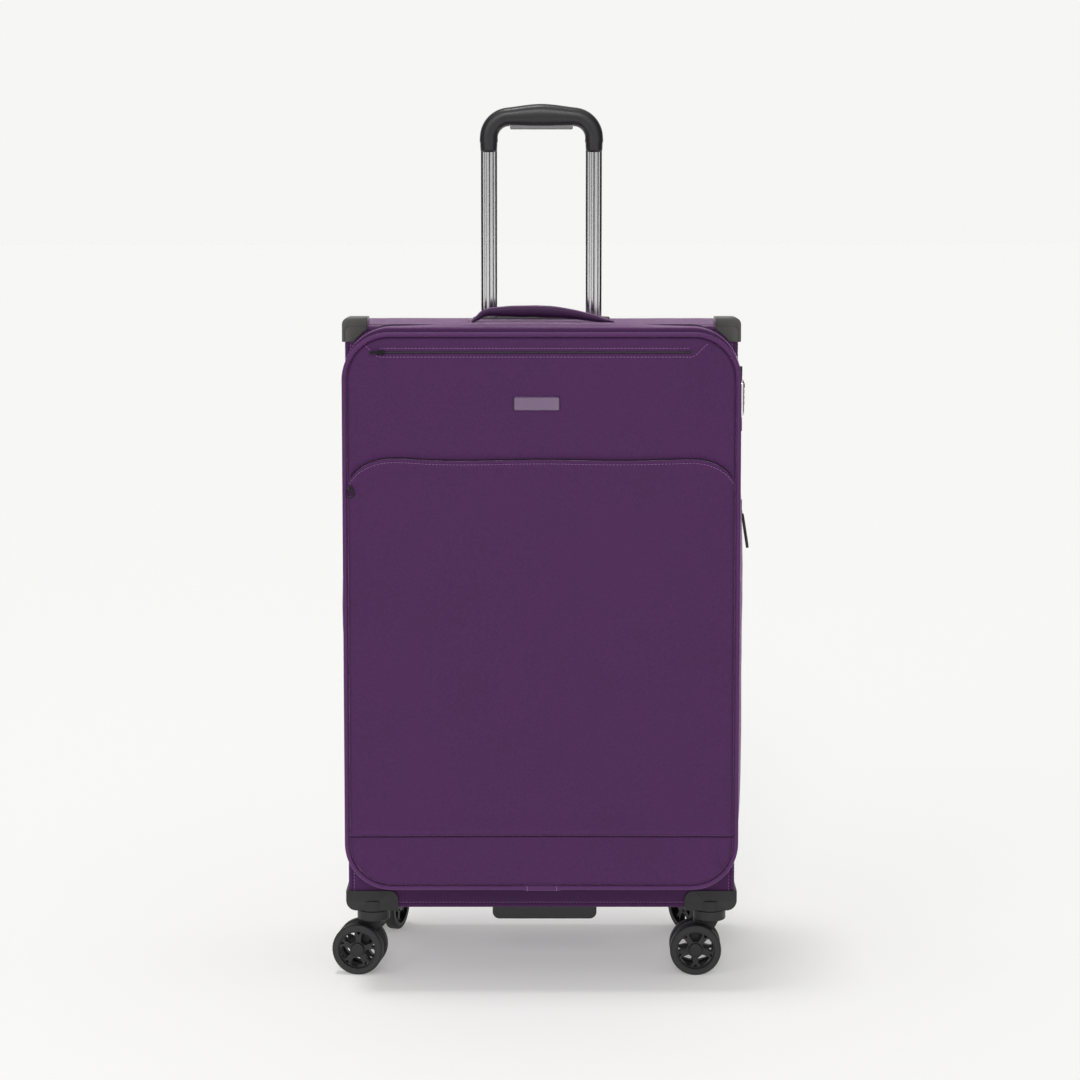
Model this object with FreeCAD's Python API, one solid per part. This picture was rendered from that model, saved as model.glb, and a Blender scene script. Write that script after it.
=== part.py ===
"""Softside upright suitcase: soft body and lid, telescopic handle, four twin-wheel casters and a side lock.

Millimetres. +Z is up, +X is to the right of somebody facing the lid, and the lid faces -Y.
The model is laid out about the middle of the body, and moved at the end so that the origin
is the middle of the whole case's footprint, on the floor.
"""

import FreeCAD, Part
import math
import os

Vector = FreeCAD.Vector
X, Y, Z = Vector(1, 0, 0), Vector(0, 1, 0), Vector(0, 0, 1)

# Driving dimensions
BODY_HALF = 248.0          # half the body's width
BODY_FRONT, BODY_BACK = -80.0, 165.0
BODY_BOTTOM, BODY_TOP = 88.5, 836.5
BODY_CORNER, BACK_EDGE = 10.0, 9.0
SHELL = 4.0                # fabric, foam and stiffener together
BOARD = 3.0
LINING = 1.2

LID_HALF = 247.5
LID_BOTTOM, LID_TOP = 128.5, 841.0
LID_REAR, LID_FRONT = -84.0, -156.0
LID_CORNER = 60.0
OPENING_INSET = 10.0       # the body's front frame inside the lid's outline
PIPING_R = 3.0
PANEL_HALF = 240.5         # the panels inside the piping
PANEL_BOTTOM, PANEL_TOP = 138.5, 827.0
POCKET_TOP, POCKET_SHOULDER = 674.0, 40.0
UPPER_THICK, LOWER_THICK = 5.0, 8.0
POCKET_ZIP_Z = 808.4

HANDLE_Y = 144.4
TUBE_X = 70.0              # centre of each tube from the middle
INNER_W, INNER_D, TUBE_WALL = 21.9, 13.0, 1.3
OUTER_W, OUTER_D = 25.4, 16.4
GRIP_TOP, GRIP_UNDER, GRIP_END = 1123.0, 1092.0, 1058.0
GRIP_HALF, GRIP_LEG, GRIP_DEPTH = 82.3, 24.0, 24.0
GRIP_OUTER_R, GRIP_INNER_R = 27.0, 19.0
CUP_FLOOR, CUP_HALF = 774.0, 84.8
TUBE_FOOT_TOP = 112.0
INNER_BOTTOM = 560.0
HANDLE_TRAVEL = 282.0
BUTTON_HALF, BUTTON_TRAVEL = 42.0, 4.0

SWIVEL_X, SWIVEL_FRONT, SWIVEL_REAR = 217.0, -64.0, 131.0
TRAIL = 18.0
WHEEL_R, HUB_R, RIM_R = 33.0, 27.5, 24.6
DISC_INNER, DISC_OUTER = 6.0, 21.0
AXLE_R, STEM_R, RUNNING = 3.0, 5.0, 0.05
FORK_R, FORK_BOTTOM, FORK_TOP = 21.0, 70.5, 83.0
HOUSING_WALL, HOUSING_LENGTH = 3.2, 66.0
BOSS_R, BOSS_BOTTOM = 21.4, 83.6
CASTERS = {                # side, swivel line, yaw of the caster, turn of the spokes
    "front_left": (-1, SWIVEL_FRONT, -8.0, 32.0),
    "front_right": (1, SWIVEL_FRONT, -1.0, 0.0),
    "rear_left": (-1, SWIVEL_REAR, -108.0, 10.0),
    "rear_right": (1, SWIVEL_REAR, -60.0, 47.0),
}

LOCK_Y, LOCK_Z = -56.0, 745.0
LOCK_WIDE, LOCK_TALL, LOCK_PROUD = 28.0, 46.0, 9.0
DIAL_R, DIAL_THICK, DIAL_PITCH, DIALS = 7.0, 5.4, 7.2, 3
LOCK_TRAVEL = 2.0
EXPANSION_Y, EXPANSION_Z = -34.0, 606.0
PULL_STAND = 2.0           # a pull's pivot above its slider's block
SLIDER_LONG, SLIDER_WIDE, SLIDER_PROUD = 14.0, 9.0, 2.2
EXPANSION_PROUD = 6.0      # the expansion slider stands taller, over the zip's flap
PULL_LEAN = 9.0            # degrees that the hanging expansion pull leans off the wall
LOCK_DIAL_Y = LOCK_Y + 3.0
LOCK_FACE = BODY_HALF + LOCK_PROUD
DIAL_X = LOCK_FACE - DIAL_R + 1.6
KEY_R, KEY_DROP = 4.0, 17.5
RELEASE_RISE = 12.5        # the lock's button above its middle
GAP = 0.3                  # between pieces that move on each other

parts = {}


def box(x0, x1, y0, y1, z0, z1):
    return Part.makeBox(x1 - x0, y1 - y0, z1 - z0, Vector(x0, y0, z0))


def cylinder(radius, start, direction, length):
    return Part.makeCylinder(radius, length, start, direction)


def union(shapes):
    shapes = list(shapes)
    return shapes[0].multiFuse(shapes[1:]).removeSplitter() if len(shapes) > 1 else shapes[0]


def polygon(points, thickness):
    """A closed outline of straight edges, extruded along the thickness vector."""
    return Part.Face(Part.makePolygon(list(points) + [points[0]])).extrude(thickness)


def fillet(shape, radius, wanted):
    """Rounds the edges whose bounding box passes the test."""
    return shape.makeFillet(radius, [edge for edge in shape.Edges if wanted(edge.BoundBox)])


def rounded_outline(half, low, high, radius, y=0.0):
    """A rectangle with round corners, in the plane at y."""
    corners = []
    for x, z, start in ((half, high, 0), (-half, high, 90), (-half, low, 180), (half, low, 270)):
        cx = x - math.copysign(radius, x)
        cz = z - radius if z == high else z + radius
        angles = [math.radians(start + step) for step in (0, 45, 90)]
        corners.append([Vector(cx + radius * math.cos(a), y, cz + radius * math.sin(a)) for a in angles])
    edges = []
    for corner, following in zip(corners, corners[1:] + corners[:1]):
        edges.append(Part.Arc(*corner).toShape())
        edges.append(Part.makeLine(corner[2], following[0]))
    return Part.Wire(edges)


def slab(half, low, high, radius, y0, y1):
    return Part.Face(rounded_outline(half, low, high, radius, y0)).extrude(Y * (y1 - y0))


def body_form(grow=0.0, front=BODY_FRONT, back=BODY_BACK, low=BODY_BOTTOM):
    """The body's outer form, grown or shrunk, with its back edges rounded."""
    back = back + grow
    block = slab(BODY_HALF + grow, low - grow, BODY_TOP + grow, BODY_CORNER + grow, front, back)
    return fillet(block, BACK_EDGE + grow, lambda b: b.YMin > back - 0.01)


def upright_tube(x, width, depth, z0, z1, centre_y=HANDLE_Y):
    """A flat-sided tube's solid outline with rounded edges, along Z."""
    block = box(x - width / 2, x + width / 2, centre_y - depth / 2, centre_y + depth / 2, z0, z1)
    return fillet(block, depth * 0.32, lambda b: b.ZLength > z1 - z0 - 0.01)


def hollow_tube(x, width, depth, z0, z1):
    core = upright_tube(x, width - 2 * TUBE_WALL, depth - 2 * TUBE_WALL, z0 - 1, z1 + 1)
    return upright_tube(x, width, depth, z0, z1).cut(core)


# Casters

def caster_place(name):
    side, line, yaw, _ = CASTERS[name]
    turn = FreeCAD.Rotation(Z, yaw)
    return FreeCAD.Placement(Vector(side * SWIVEL_X, line, 0), turn)


def placed(shape, placement):
    moved = shape.copy()
    moved.Placement = placement.multiply(moved.Placement)
    return moved


def polar(radius, degrees, y):
    a = math.radians(degrees)
    return Vector(radius * math.cos(a), y, radius * math.sin(a))


def hub(side, spoke_turn):
    """One wheel disc: rim, five spokes with a small window at the end of each, and a closed cap."""
    y0 = DISC_INNER if side > 0 else -DISC_OUTER
    wide = DISC_OUTER - DISC_INNER
    rim = cylinder(HUB_R, Vector(0, y0, 0), Y, wide).cut(cylinder(RIM_R, Vector(0, y0 - 1, 0), Y, wide + 2))
    web = cylinder(RIM_R + 0.5, Vector(0, y0 + 3.5, 0), Y, wide - 7)
    for n in range(5):
        middle = spoke_turn + 90 + 72 * n
        large = polygon([polar(10.8, middle - 19, y0), polar(22.4, middle - 25.5, y0),
                         polar(23.4, middle, y0), polar(22.4, middle + 25.5, y0),
                         polar(10.8, middle + 19, y0)], Y * wide)
        large = fillet(large, 2.4, lambda b: b.YLength > wide - 0.01)
        small = polygon([polar(18.6, middle + 36, y0), polar(22.9, middle + 29, y0),
                         polar(22.9, middle + 43, y0)], Y * wide)
        web = web.cut(large).cut(small)
    cap_outer = DISC_OUTER - 0.6
    cap_start = DISC_INNER if side > 0 else -cap_outer
    cap = cylinder(8.6, Vector(0, cap_start, 0), Y, cap_outer - DISC_INNER)
    cap = fillet(cap, 1.5, lambda b: b.YLength < 0.01 and abs(b.YMin - side * cap_outer) < 0.01)
    disc = union([rim, web, cap])
    bore_end = DISC_OUTER - 3.5
    return disc.cut(cylinder(AXLE_R, Vector(0, -bore_end, 0), Y, 2 * bore_end))


def tyre(side):
    y0 = DISC_INNER if side > 0 else -DISC_OUTER
    wide = DISC_OUTER - DISC_INNER
    ring = cylinder(WHEEL_R, Vector(0, y0, 0), Y, wide)
    ring = fillet(ring, 3.0, lambda b: b.YLength < 0.01)
    return ring.cut(cylinder(HUB_R, Vector(0, y0 - 1, 0), Y, wide + 2))


def fork():
    """Round swivel head with a neck that passes between the two wheel discs to the axle."""
    head = cylinder(FORK_R, Vector(0, 0, FORK_BOTTOM), Z, FORK_TOP - FORK_BOTTOM)
    head = fillet(head, 2.0, lambda b: b.ZLength < 0.01 and b.ZMin < FORK_BOTTOM + 0.01)
    half = DISC_INNER - 0.7
    neck_outline = ((14, 72), (6, 58), (-4, 44), (-9.2, 33), (-26.8, 33), (-24, 54), (-19, 72))
    neck = polygon([Vector(x, -half, z) for x, z in neck_outline], Y * 2 * half)
    boss = cylinder(9.0, Vector(-TRAIL, -half, WHEEL_R), Y, 2 * half)
    solid = union([head, neck, boss])
    stem_bore = cylinder(STEM_R + RUNNING, Vector(0, 0, FORK_BOTTOM + 1.4), Z, 20)
    axle_bore = cylinder(AXLE_R + RUNNING, Vector(-TRAIL, -20, WHEEL_R), Y, 40)
    return solid.cut(stem_bore).cut(axle_bore)


def add_casters():
    to_axle = FreeCAD.Placement(Vector(-TRAIL, 0, WHEEL_R), FreeCAD.Rotation())
    bore_end = DISC_OUTER - 3.5
    for name, (_, _, _, spoke_turn) in CASTERS.items():
        place = caster_place(name)
        wheel_place = place.multiply(to_axle)
        parts["fork_" + name] = placed(fork(), place)
        axle = cylinder(AXLE_R, Vector(0, -bore_end, 0), Y, 2 * bore_end)
        parts["axle_" + name] = placed(axle, wheel_place)
        pair = Part.makeCompound([hub(-1, spoke_turn), hub(1, spoke_turn)])
        parts["wheels_" + name] = placed(pair, wheel_place)
        parts["tyres_" + name] = placed(Part.makeCompound([tyre(-1), tyre(1)]), wheel_place)


def screw_places(name):
    side, line, _, _ = CASTERS[name]
    inward = 1 if line < 0 else -1
    return [(side * (SWIVEL_X - 27), line), (side * SWIVEL_X, line + 27 * inward),
            (side * (SWIVEL_X + 19), line + 19 * inward)]


def screw(x, y):
    head = cylinder(3.4, Vector(x, y, BODY_BOTTOM - HOUSING_WALL), Z, 2.0)
    return head.fuse(cylinder(1.6, Vector(x, y, BODY_BOTTOM - 1.3), Z, 7.0))


def boss_plugs():
    return [cylinder(16.2, Vector(side * SWIVEL_X, line, BODY_BOTTOM - 5), Z, 30)
            for side, line, _, _ in CASTERS.values()]


def add_housings(screws):
    """Moulded corner shoes that wrap the body's bottom corners and hold the caster stems."""
    outer = body_form(HOUSING_WALL, BODY_FRONT - HOUSING_WALL)
    body = body_form()
    for name, (side, line, _, _) in CASTERS.items():
        front = line < 0
        y0 = BODY_FRONT - 5 if front else BODY_BACK + 5 - HOUSING_LENGTH
        x0 = BODY_HALF + 5 - HOUSING_LENGTH - 3
        window = box(x0, BODY_HALF + 5, y0, y0 + HOUSING_LENGTH, BODY_BOTTOM - 5, 111.0)
        window = fillet(window, 12.0, lambda b: b.YLength > HOUSING_LENGTH - 0.01 and b.XMax < x0 + 0.01
                        and b.ZMin > 110)
        if side < 0:
            window = window.mirror(Vector(), X)
        wrap = outer.common(window)
        boss = cylinder(BOSS_R, Vector(side * SWIVEL_X, line, BOSS_BOTTOM), Z, 14.0)
        boss = fillet(boss, 1.5, lambda b: b.ZLength < 0.01)
        inner = cylinder(16.0, Vector(side * SWIVEL_X, line, BODY_BOTTOM - 1), Z, 7.9)
        stem_hole = cylinder(STEM_R, Vector(side * SWIVEL_X, line, BOSS_BOTTOM - 1), Z, 11.6)
        shoe = union([union([wrap, boss]).cut(body), inner]).cut(stem_hole)
        for place in screw_places(name):
            shoe = shoe.cut(screw(*place))
        parts["wheel_housing_" + name] = shoe
    stems = [cylinder(STEM_R, Vector(side * SWIVEL_X, line, FORK_BOTTOM + 1.7), Z, 22.0)
             for side, line, _, _ in CASTERS.values()]
    parts["caster_stems"] = Part.makeCompound(stems)
    parts["base_screws"] = Part.makeCompound(screws)


# Body

def cup_outline(grow, z0, z1):
    """The recess that takes the telescopic grip."""
    half_d = GRIP_DEPTH / 2 + 2.6 + grow
    block = box(-CUP_HALF - grow, CUP_HALF + grow, HANDLE_Y - half_d, HANDLE_Y + half_d, z0, z1)
    return fillet(block, 8.0 + grow, lambda b: b.ZLength > z1 - z0 - 0.01)


def guard(side):
    """Moulded cap over a top front corner."""
    reach, thick = 32.0, 3.2
    outer = body_form(thick, BODY_FRONT - thick)
    outer = fillet(outer, 2.0, lambda b: b.YMax < BODY_FRONT - thick + 0.01)
    window = box(BODY_HALF + 5 - reach - 2, BODY_HALF + 5, BODY_FRONT - 5, BODY_FRONT + 44,
                 BODY_TOP + 5 - reach, BODY_TOP + 5)
    window = fillet(window, 7.0, lambda b: b.YLength > 48 and b.XMax < BODY_HALF - 20
                    and b.ZMax < BODY_TOP - 20)
    if side < 0:
        window = window.mirror(Vector(), X)
    lid_room = slab(LID_HALF + 0.6, LID_BOTTOM, LID_TOP + 0.6, LID_CORNER, BODY_FRONT - 10, BODY_FRONT)
    return outer.common(window).cut(body_form()).cut(lid_room)


def base_board(screws):
    """Stiff floor board, notched round the four caster bosses."""
    half, y0, y1 = BODY_HALF - 15, BODY_FRONT + SHELL + 4, BODY_BACK - SHELL - 8
    z0 = BODY_BOTTOM + SHELL
    board = box(-half, half, y0, y1, z0, z0 + BOARD)
    for side, line, _, _ in CASTERS.values():
        x0, x1 = sorted((side * (SWIVEL_X - 18), side * (half + 1)))
        near, far = sorted((line - math.copysign(18, line), math.copysign(200, line)))
        board = board.cut(box(x0, x1, near, far, z0 - 1, z0 + BOARD + 1))
    for cutter in screws:
        board = board.cut(cutter)
    return board


def add_body(screws):
    cavity = body_form(-SHELL)
    front_frame = slab(BODY_HALF, BODY_BOTTOM, BODY_TOP, BODY_CORNER, BODY_FRONT, BODY_FRONT + SHELL)
    opening = slab(LID_HALF - OPENING_INSET, LID_BOTTOM + OPENING_INSET, BODY_TOP - 6.0,
                   LID_CORNER - OPENING_INSET, BODY_FRONT - 1, BODY_FRONT + SHELL + 1)
    shell = body_form().cut(cavity).fuse(front_frame).cut(opening)
    cup_hole = cup_outline(2.0, CUP_FLOOR - 10, BODY_TOP + 10)
    shell = shell.cut(cup_hole)
    inside_front = BODY_FRONT + SHELL
    base = base_board(screws)
    for cutter in boss_plugs() + screws:
        shell = shell.cut(cutter)
    parts["body_shell"] = shell
    parts["base_board"] = base

    floor = BODY_BOTTOM + SHELL + BOARD + 0.1
    board_y = 124.0
    inset = SHELL
    lining_outer = slab(BODY_HALF - inset, floor, BODY_TOP - inset, BODY_CORNER - inset,
                        inside_front, board_y)
    lining_inner = slab(BODY_HALF - inset - LINING, floor + LINING, BODY_TOP - inset - LINING,
                        BODY_CORNER - inset - LINING, inside_front - 1, board_y - LINING)
    parts["body_lining"] = lining_outer.cut(lining_inner)
    board = slab(BODY_HALF - inset - 1, floor, BODY_TOP - inset - 0.5, BODY_CORNER - inset - 1,
                 board_y, board_y + 2.4)
    parts["back_board"] = board.cut(cup_hole)

    strap_z, strap_y = 330.0, board_y - LINING
    straps = []
    for side in (-1, 1):
        near, far = side * 18.0, side * (BODY_HALF - inset - LINING - 2)
        left, right = min(near, far), max(near, far)
        straps.append(box(left, right, strap_y - 1.6, strap_y, strap_z - 12.5, strap_z + 12.5))
    parts["packing_straps"] = Part.makeCompound(straps)
    buckle = box(-17.9, 17.9, strap_y - 8.0, strap_y, strap_z - 15, strap_z + 15)
    parts["strap_buckle"] = fillet(buckle, 2.5, lambda b: b.YMax < strap_y - 7.9 or b.YLength > 7.9)

    for name, side in (("left", -1), ("right", 1)):
        parts["corner_guard_" + name] = guard(side)

    ring_out = slab(LID_HALF - 1, LID_BOTTOM + 1, BODY_TOP - 1, LID_CORNER - 1,
                    BODY_FRONT - 1.8, BODY_FRONT)
    ring_in = slab(LID_HALF - 7, LID_BOTTOM + 7, BODY_TOP - 7, LID_CORNER - 7,
                   BODY_FRONT - 3, BODY_FRONT + 1)
    parts["main_zip_body"] = ring_out.cut(ring_in)


def add_bottom_grip():
    """Kick plate under the front of the base with a finger recess."""
    x0, x1, y0, y1, z0 = -63.0, 71.0, -77.0, -17.0, 72.5
    block = box(x0, x1, y0, y1, z0, BODY_BOTTOM)
    block = fillet(block, 9.0, lambda b: b.ZMax < z0 + 0.01 and b.YLength > 50)
    block = fillet(block, 2.5, lambda b: b.ZMax < z0 + 0.01 and b.XLength > 50)
    recess = box(x0 + 16, x1 - 16, y0 + 12, y1 - 12, z0 - 1, BODY_BOTTOM - 3)
    parts["bottom_grip"] = block.cut(fillet(recess, 5.0, lambda b: b.ZLength > 10))


def arch(length, rise, strap, width, foot, inner_rise):
    """A padded strap handle along X that stands on z = 0, with flat feet and a finger gap."""
    half = length / 2

    def bow(reach, height):
        return Part.Arc(Vector(-reach, 0, 0), Vector(0, 0, height), Vector(reach, 0, 0)).toShape()

    outer = Part.Face(Part.Wire([bow(half, rise), Part.makeLine(Vector(half, 0, 0), Vector(-half, 0, 0))]))
    inner = Part.Face(Part.Wire([bow(half - foot, inner_rise),
                                 Part.makeLine(Vector(half - foot, 0, 0), Vector(foot - half, 0, 0))]))
    band = outer.extrude(Y * width).cut(inner.extrude(Y * width))
    band.translate(Vector(0, -width / 2, 0))
    return band


def add_carry_handles():
    """Top handle on the body's roof and side handle on the left wall, both with a finger gap."""
    top = arch(187.0, 24.0, 12.0, 30.0, 14.0, 11.5)
    top.translate(Vector(2.0, 30.0, BODY_TOP))
    parts["top_handle"] = top
    side = arch(200.0, 25.0, 12.0, 30.0, 14.0, 13.0)
    side.rotate(Vector(), Y, -90)
    side.translate(Vector(-BODY_HALF, 42.0, 462.0))
    parts["side_handle"] = side


# Telescopic handle

def grip_outline():
    """Inverted U with a round shoulder on each side."""
    top = slab(GRIP_HALF, GRIP_END - 80, GRIP_TOP, GRIP_OUTER_R, -GRIP_DEPTH / 2, GRIP_DEPTH / 2)
    inside = slab(GRIP_HALF - GRIP_LEG, GRIP_END - 90, GRIP_UNDER, GRIP_INNER_R, -GRIP_DEPTH, GRIP_DEPTH)
    below = box(-100, 100, -20, 20, GRIP_END - 100, GRIP_END)
    u = top.cut(inside).cut(below)
    u = fillet(u, 5.0, lambda b: b.YLength < 0.01 and b.ZMax > GRIP_END + 0.1)
    u.translate(Vector(0, HANDLE_Y, 0))
    return u


def add_handle():
    grip = grip_outline()
    tube_top = GRIP_UNDER - 7
    slot_top = GRIP_UNDER + 12
    y0, y1 = HANDLE_Y - 6, HANDLE_Y + 6
    grip = grip.cut(box(-BUTTON_HALF - GAP, BUTTON_HALF + GAP, y0 - GAP, y1 + GAP,
                        GRIP_UNDER - 5, slot_top))
    for side in (-1, 1):
        x = side * TUBE_X
        grip = grip.cut(upright_tube(x, INNER_W, INNER_D, GRIP_END - 1, tube_top))
        near, far = side * (BUTTON_HALF - 4), side * (TUBE_X + 3)
        left, right = min(near, far), max(near, far)
        grip = grip.cut(box(left, right, HANDLE_Y - 2.4, HANDLE_Y + 2.4, GRIP_UNDER + 2, slot_top))
        grip = grip.cut(cylinder(2.6, Vector(x, HANDLE_Y, tube_top - 1), Z, slot_top - tube_top + 1))
    parts["handle_grip"] = grip
    tubes = [hollow_tube(side * TUBE_X, INNER_W, INNER_D, INNER_BOTTOM, tube_top) for side in (-1, 1)]
    parts["inner_tubes"] = Part.makeCompound(tubes)

    plugs = []
    for side in (-1, 1):
        core = upright_tube(side * TUBE_X, INNER_W - 2 * TUBE_WALL, INNER_D - 2 * TUBE_WALL,
                            INNER_BOTTOM, INNER_BOTTOM + 24)
        flange = upright_tube(side * TUBE_X, INNER_W, INNER_D, INNER_BOTTOM - 3, INNER_BOTTOM)
        rod_way = cylinder(2.0, Vector(side * TUBE_X, HANDLE_Y, INNER_BOTTOM - 4), Z, 30)
        plugs.append(core.fuse(flange).cut(rod_way))
    parts["tube_plugs"] = Part.makeCompound(plugs)

    button = box(-BUTTON_HALF, BUTTON_HALF, y0, y1, GRIP_UNDER - 3, GRIP_UNDER + 7.5)
    parts["release_button"] = fillet(button, 2.0, lambda b: b.ZMax < GRIP_UNDER - 2.99)
    rods = []
    for side in (-1, 1):
        x = side * TUBE_X
        rod = cylinder(1.5, Vector(x, HANDLE_Y, INNER_BOTTOM + 8), Z, GRIP_UNDER + 5 - INNER_BOTTOM - 8)
        near, far = side * BUTTON_HALF, side * (TUBE_X + 1.5)
        left, right = min(near, far), max(near, far)
        arm = box(left, right, HANDLE_Y - 1.5, HANDLE_Y + 1.5, GRIP_UNDER + 3, GRIP_UNDER + 7)
        rods.append(rod.fuse(arm))
    parts["push_rods"] = Part.makeCompound(rods)

    bore_grow = 0.16
    outers = []
    for side in (-1, 1):
        outline = upright_tube(side * TUBE_X, OUTER_W, OUTER_D, TUBE_FOOT_TOP, CUP_FLOOR - 4)
        bore = upright_tube(side * TUBE_X, INNER_W + 2 * bore_grow, INNER_D + 2 * bore_grow,
                            TUBE_FOOT_TOP - 1, CUP_FLOOR)
        outers.append(outline.cut(bore))
    parts["outer_tubes"] = Part.makeCompound(outers)

    cup = cup_outline(2.0, CUP_FLOOR - 4, BODY_TOP).cut(cup_outline(0.0, CUP_FLOOR, BODY_TOP + 1))
    lip = cup_outline(7.0, BODY_TOP, BODY_TOP + 2.5).cut(cup_outline(0.0, BODY_TOP - 1, BODY_TOP + 4))
    lip = fillet(lip, 1.5, lambda b: b.ZLength < 0.01 and b.ZMin > BODY_TOP + 2.4)
    bezel = cup.fuse(lip)
    for side in (-1, 1):
        bezel = bezel.cut(upright_tube(side * TUBE_X, INNER_W + 2 * bore_grow, INNER_D + 2 * bore_grow,
                                       CUP_FLOOR - 6, CUP_FLOOR + 1))
    parts["handle_bezel"] = bezel

    half_d = OUTER_D / 2
    foot = box(-TUBE_X - 22, TUBE_X + 22, HANDLE_Y - half_d - 3, HANDLE_Y + half_d + 3,
               BODY_BOTTOM + SHELL + BOARD, TUBE_FOOT_TOP)
    foot = fillet(foot, 4.0, lambda b: b.ZLength > 10)
    parts["tube_foot"] = foot


# Lid

def lower_pocket_outline(y):
    """The panel's outline below a straight top edge whose ends run down over round shoulders."""
    half, low, radius = PANEL_HALF, PANEL_BOTTOM, LID_CORNER - 7
    drop, reach = POCKET_SHOULDER, 52.0
    turn = math.sqrt(0.5)

    def arc_low(side, order):
        points = [Vector(side * half, y, low + radius),
                  Vector(side * (half - radius + radius * turn), y, low + radius - radius * turn),
                  Vector(side * (half - radius), y, low)]
        return Part.Arc(*points[::order]).toShape()

    def arc_high(side, order):
        points = [Vector(side * half, y, POCKET_TOP - drop),
                  Vector(side * (half - reach * (1 - turn)), y, POCKET_TOP - drop * (1 - turn)),
                  Vector(side * (half - reach), y, POCKET_TOP)]
        return Part.Arc(*points[::order]).toShape()

    edges = [Part.makeLine(Vector(half - reach, y, POCKET_TOP), Vector(reach - half, y, POCKET_TOP)),
             arc_high(-1, -1),
             Part.makeLine(Vector(-half, y, POCKET_TOP - drop), Vector(-half, y, low + radius)),
             arc_low(-1, 1),
             Part.makeLine(Vector(radius - half, y, low), Vector(half - radius, y, low)),
             arc_low(1, -1),
             Part.makeLine(Vector(half, y, low + radius), Vector(half, y, POCKET_TOP - drop)),
             arc_high(1, 1)]
    return Part.Wire(edges)


def add_lid():
    outer = slab(LID_HALF, LID_BOTTOM, LID_TOP, LID_CORNER, LID_FRONT, LID_REAR)
    outer = fillet(outer, 6.0, lambda b: b.YMax < LID_FRONT + 0.01)
    inner = slab(LID_HALF - SHELL, LID_BOTTOM + SHELL, LID_TOP - SHELL, LID_CORNER - SHELL,
                 LID_FRONT + SHELL, LID_REAR + 1)
    parts["lid_shell"] = outer.cut(inner)

    pad_back = LID_FRONT - 0.1
    lower = Part.Face(lower_pocket_outline(pad_back)).extrude(Y * -LOWER_THICK)
    whole = slab(PANEL_HALF, PANEL_BOTTOM, PANEL_TOP, LID_CORNER - 7, pad_back - UPPER_THICK, pad_back)
    seat = Part.Face(lower_pocket_outline(pad_back + 1)).extrude(Y * -20)
    parts["upper_pocket"] = whole.cut(seat)
    parts["lower_pocket"] = lower

    path = rounded_outline(PANEL_HALF + PIPING_R + 0.3, PANEL_BOTTOM - PIPING_R - 0.3,
                           PANEL_TOP + PIPING_R + 0.3, LID_CORNER - 7 + PIPING_R,
                           LID_FRONT - PIPING_R - 0.1)
    start = path.Vertexes[0].Point
    ring = Part.Wire(Part.makeCircle(PIPING_R, Vector(PANEL_HALF + PIPING_R + 0.3, start.y, 500.0), Z))
    parts["lid_piping"] = path_sweep(path, ring)

    plate = slab(28.6, -8.4, 8.4, 2.2, -1.6, 0.0)
    plate = fillet(plate, 0.6, lambda b: b.YMax < -1.59)
    plate.translate(Vector(-6.0, pad_back - UPPER_THICK, 745.0))
    parts["name_plate"] = plate

    ring_out = slab(LID_HALF - 1, LID_BOTTOM + 1, BODY_TOP - 1, LID_CORNER - 1, LID_REAR, LID_REAR + 1.8)
    ring_in = slab(LID_HALF - 7, LID_BOTTOM + 7, BODY_TOP - 7, LID_CORNER - 7, LID_REAR - 1, LID_REAR + 3)
    parts["main_zip_lid"] = ring_out.cut(ring_in)


def path_sweep(path, ring):
    """Sweeps a round section along a closed path of lines and arcs, starting on its right-hand run."""
    edges = Part.sortEdges(path.Edges)[0]
    right = max(range(len(edges)), key=lambda n: edges[n].CenterOfMass.x)
    ordered = Part.Wire(edges[right:] + edges[:right])
    return ordered.makePipeShell([ring], True, True)


# Lock, sliders and pulls

def dial(z):
    """Ten-position number dial standing on the given height."""
    wheel = cylinder(DIAL_R, Vector(DIAL_X, LOCK_DIAL_Y, z), Z, DIAL_THICK)
    wheel = fillet(wheel, 0.5, lambda b: b.ZLength < 0.01)
    for k in range(10):
        a = math.radians(36 * k)
        reach = DIAL_R + 0.25
        foot = Vector(DIAL_X + reach * math.cos(a), LOCK_DIAL_Y + reach * math.sin(a), z - 1)
        wheel = wheel.cut(cylinder(0.7, foot, Z, DIAL_THICK + 2))
    return wheel


def lock_plate():
    """Blank of the lock's case with rounded corners and front edges."""
    x1 = LOCK_FACE
    half_y, half_z = LOCK_WIDE / 2, LOCK_TALL / 2
    case = box(BODY_HALF, x1, LOCK_Y - half_y, LOCK_Y + half_y, LOCK_Z - half_z, LOCK_Z + half_z)
    case = fillet(case, 6.0, lambda b: b.XLength > LOCK_PROUD - 0.01)
    return fillet(case, 2.0, lambda b: b.XMin > x1 - 0.01)


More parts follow.
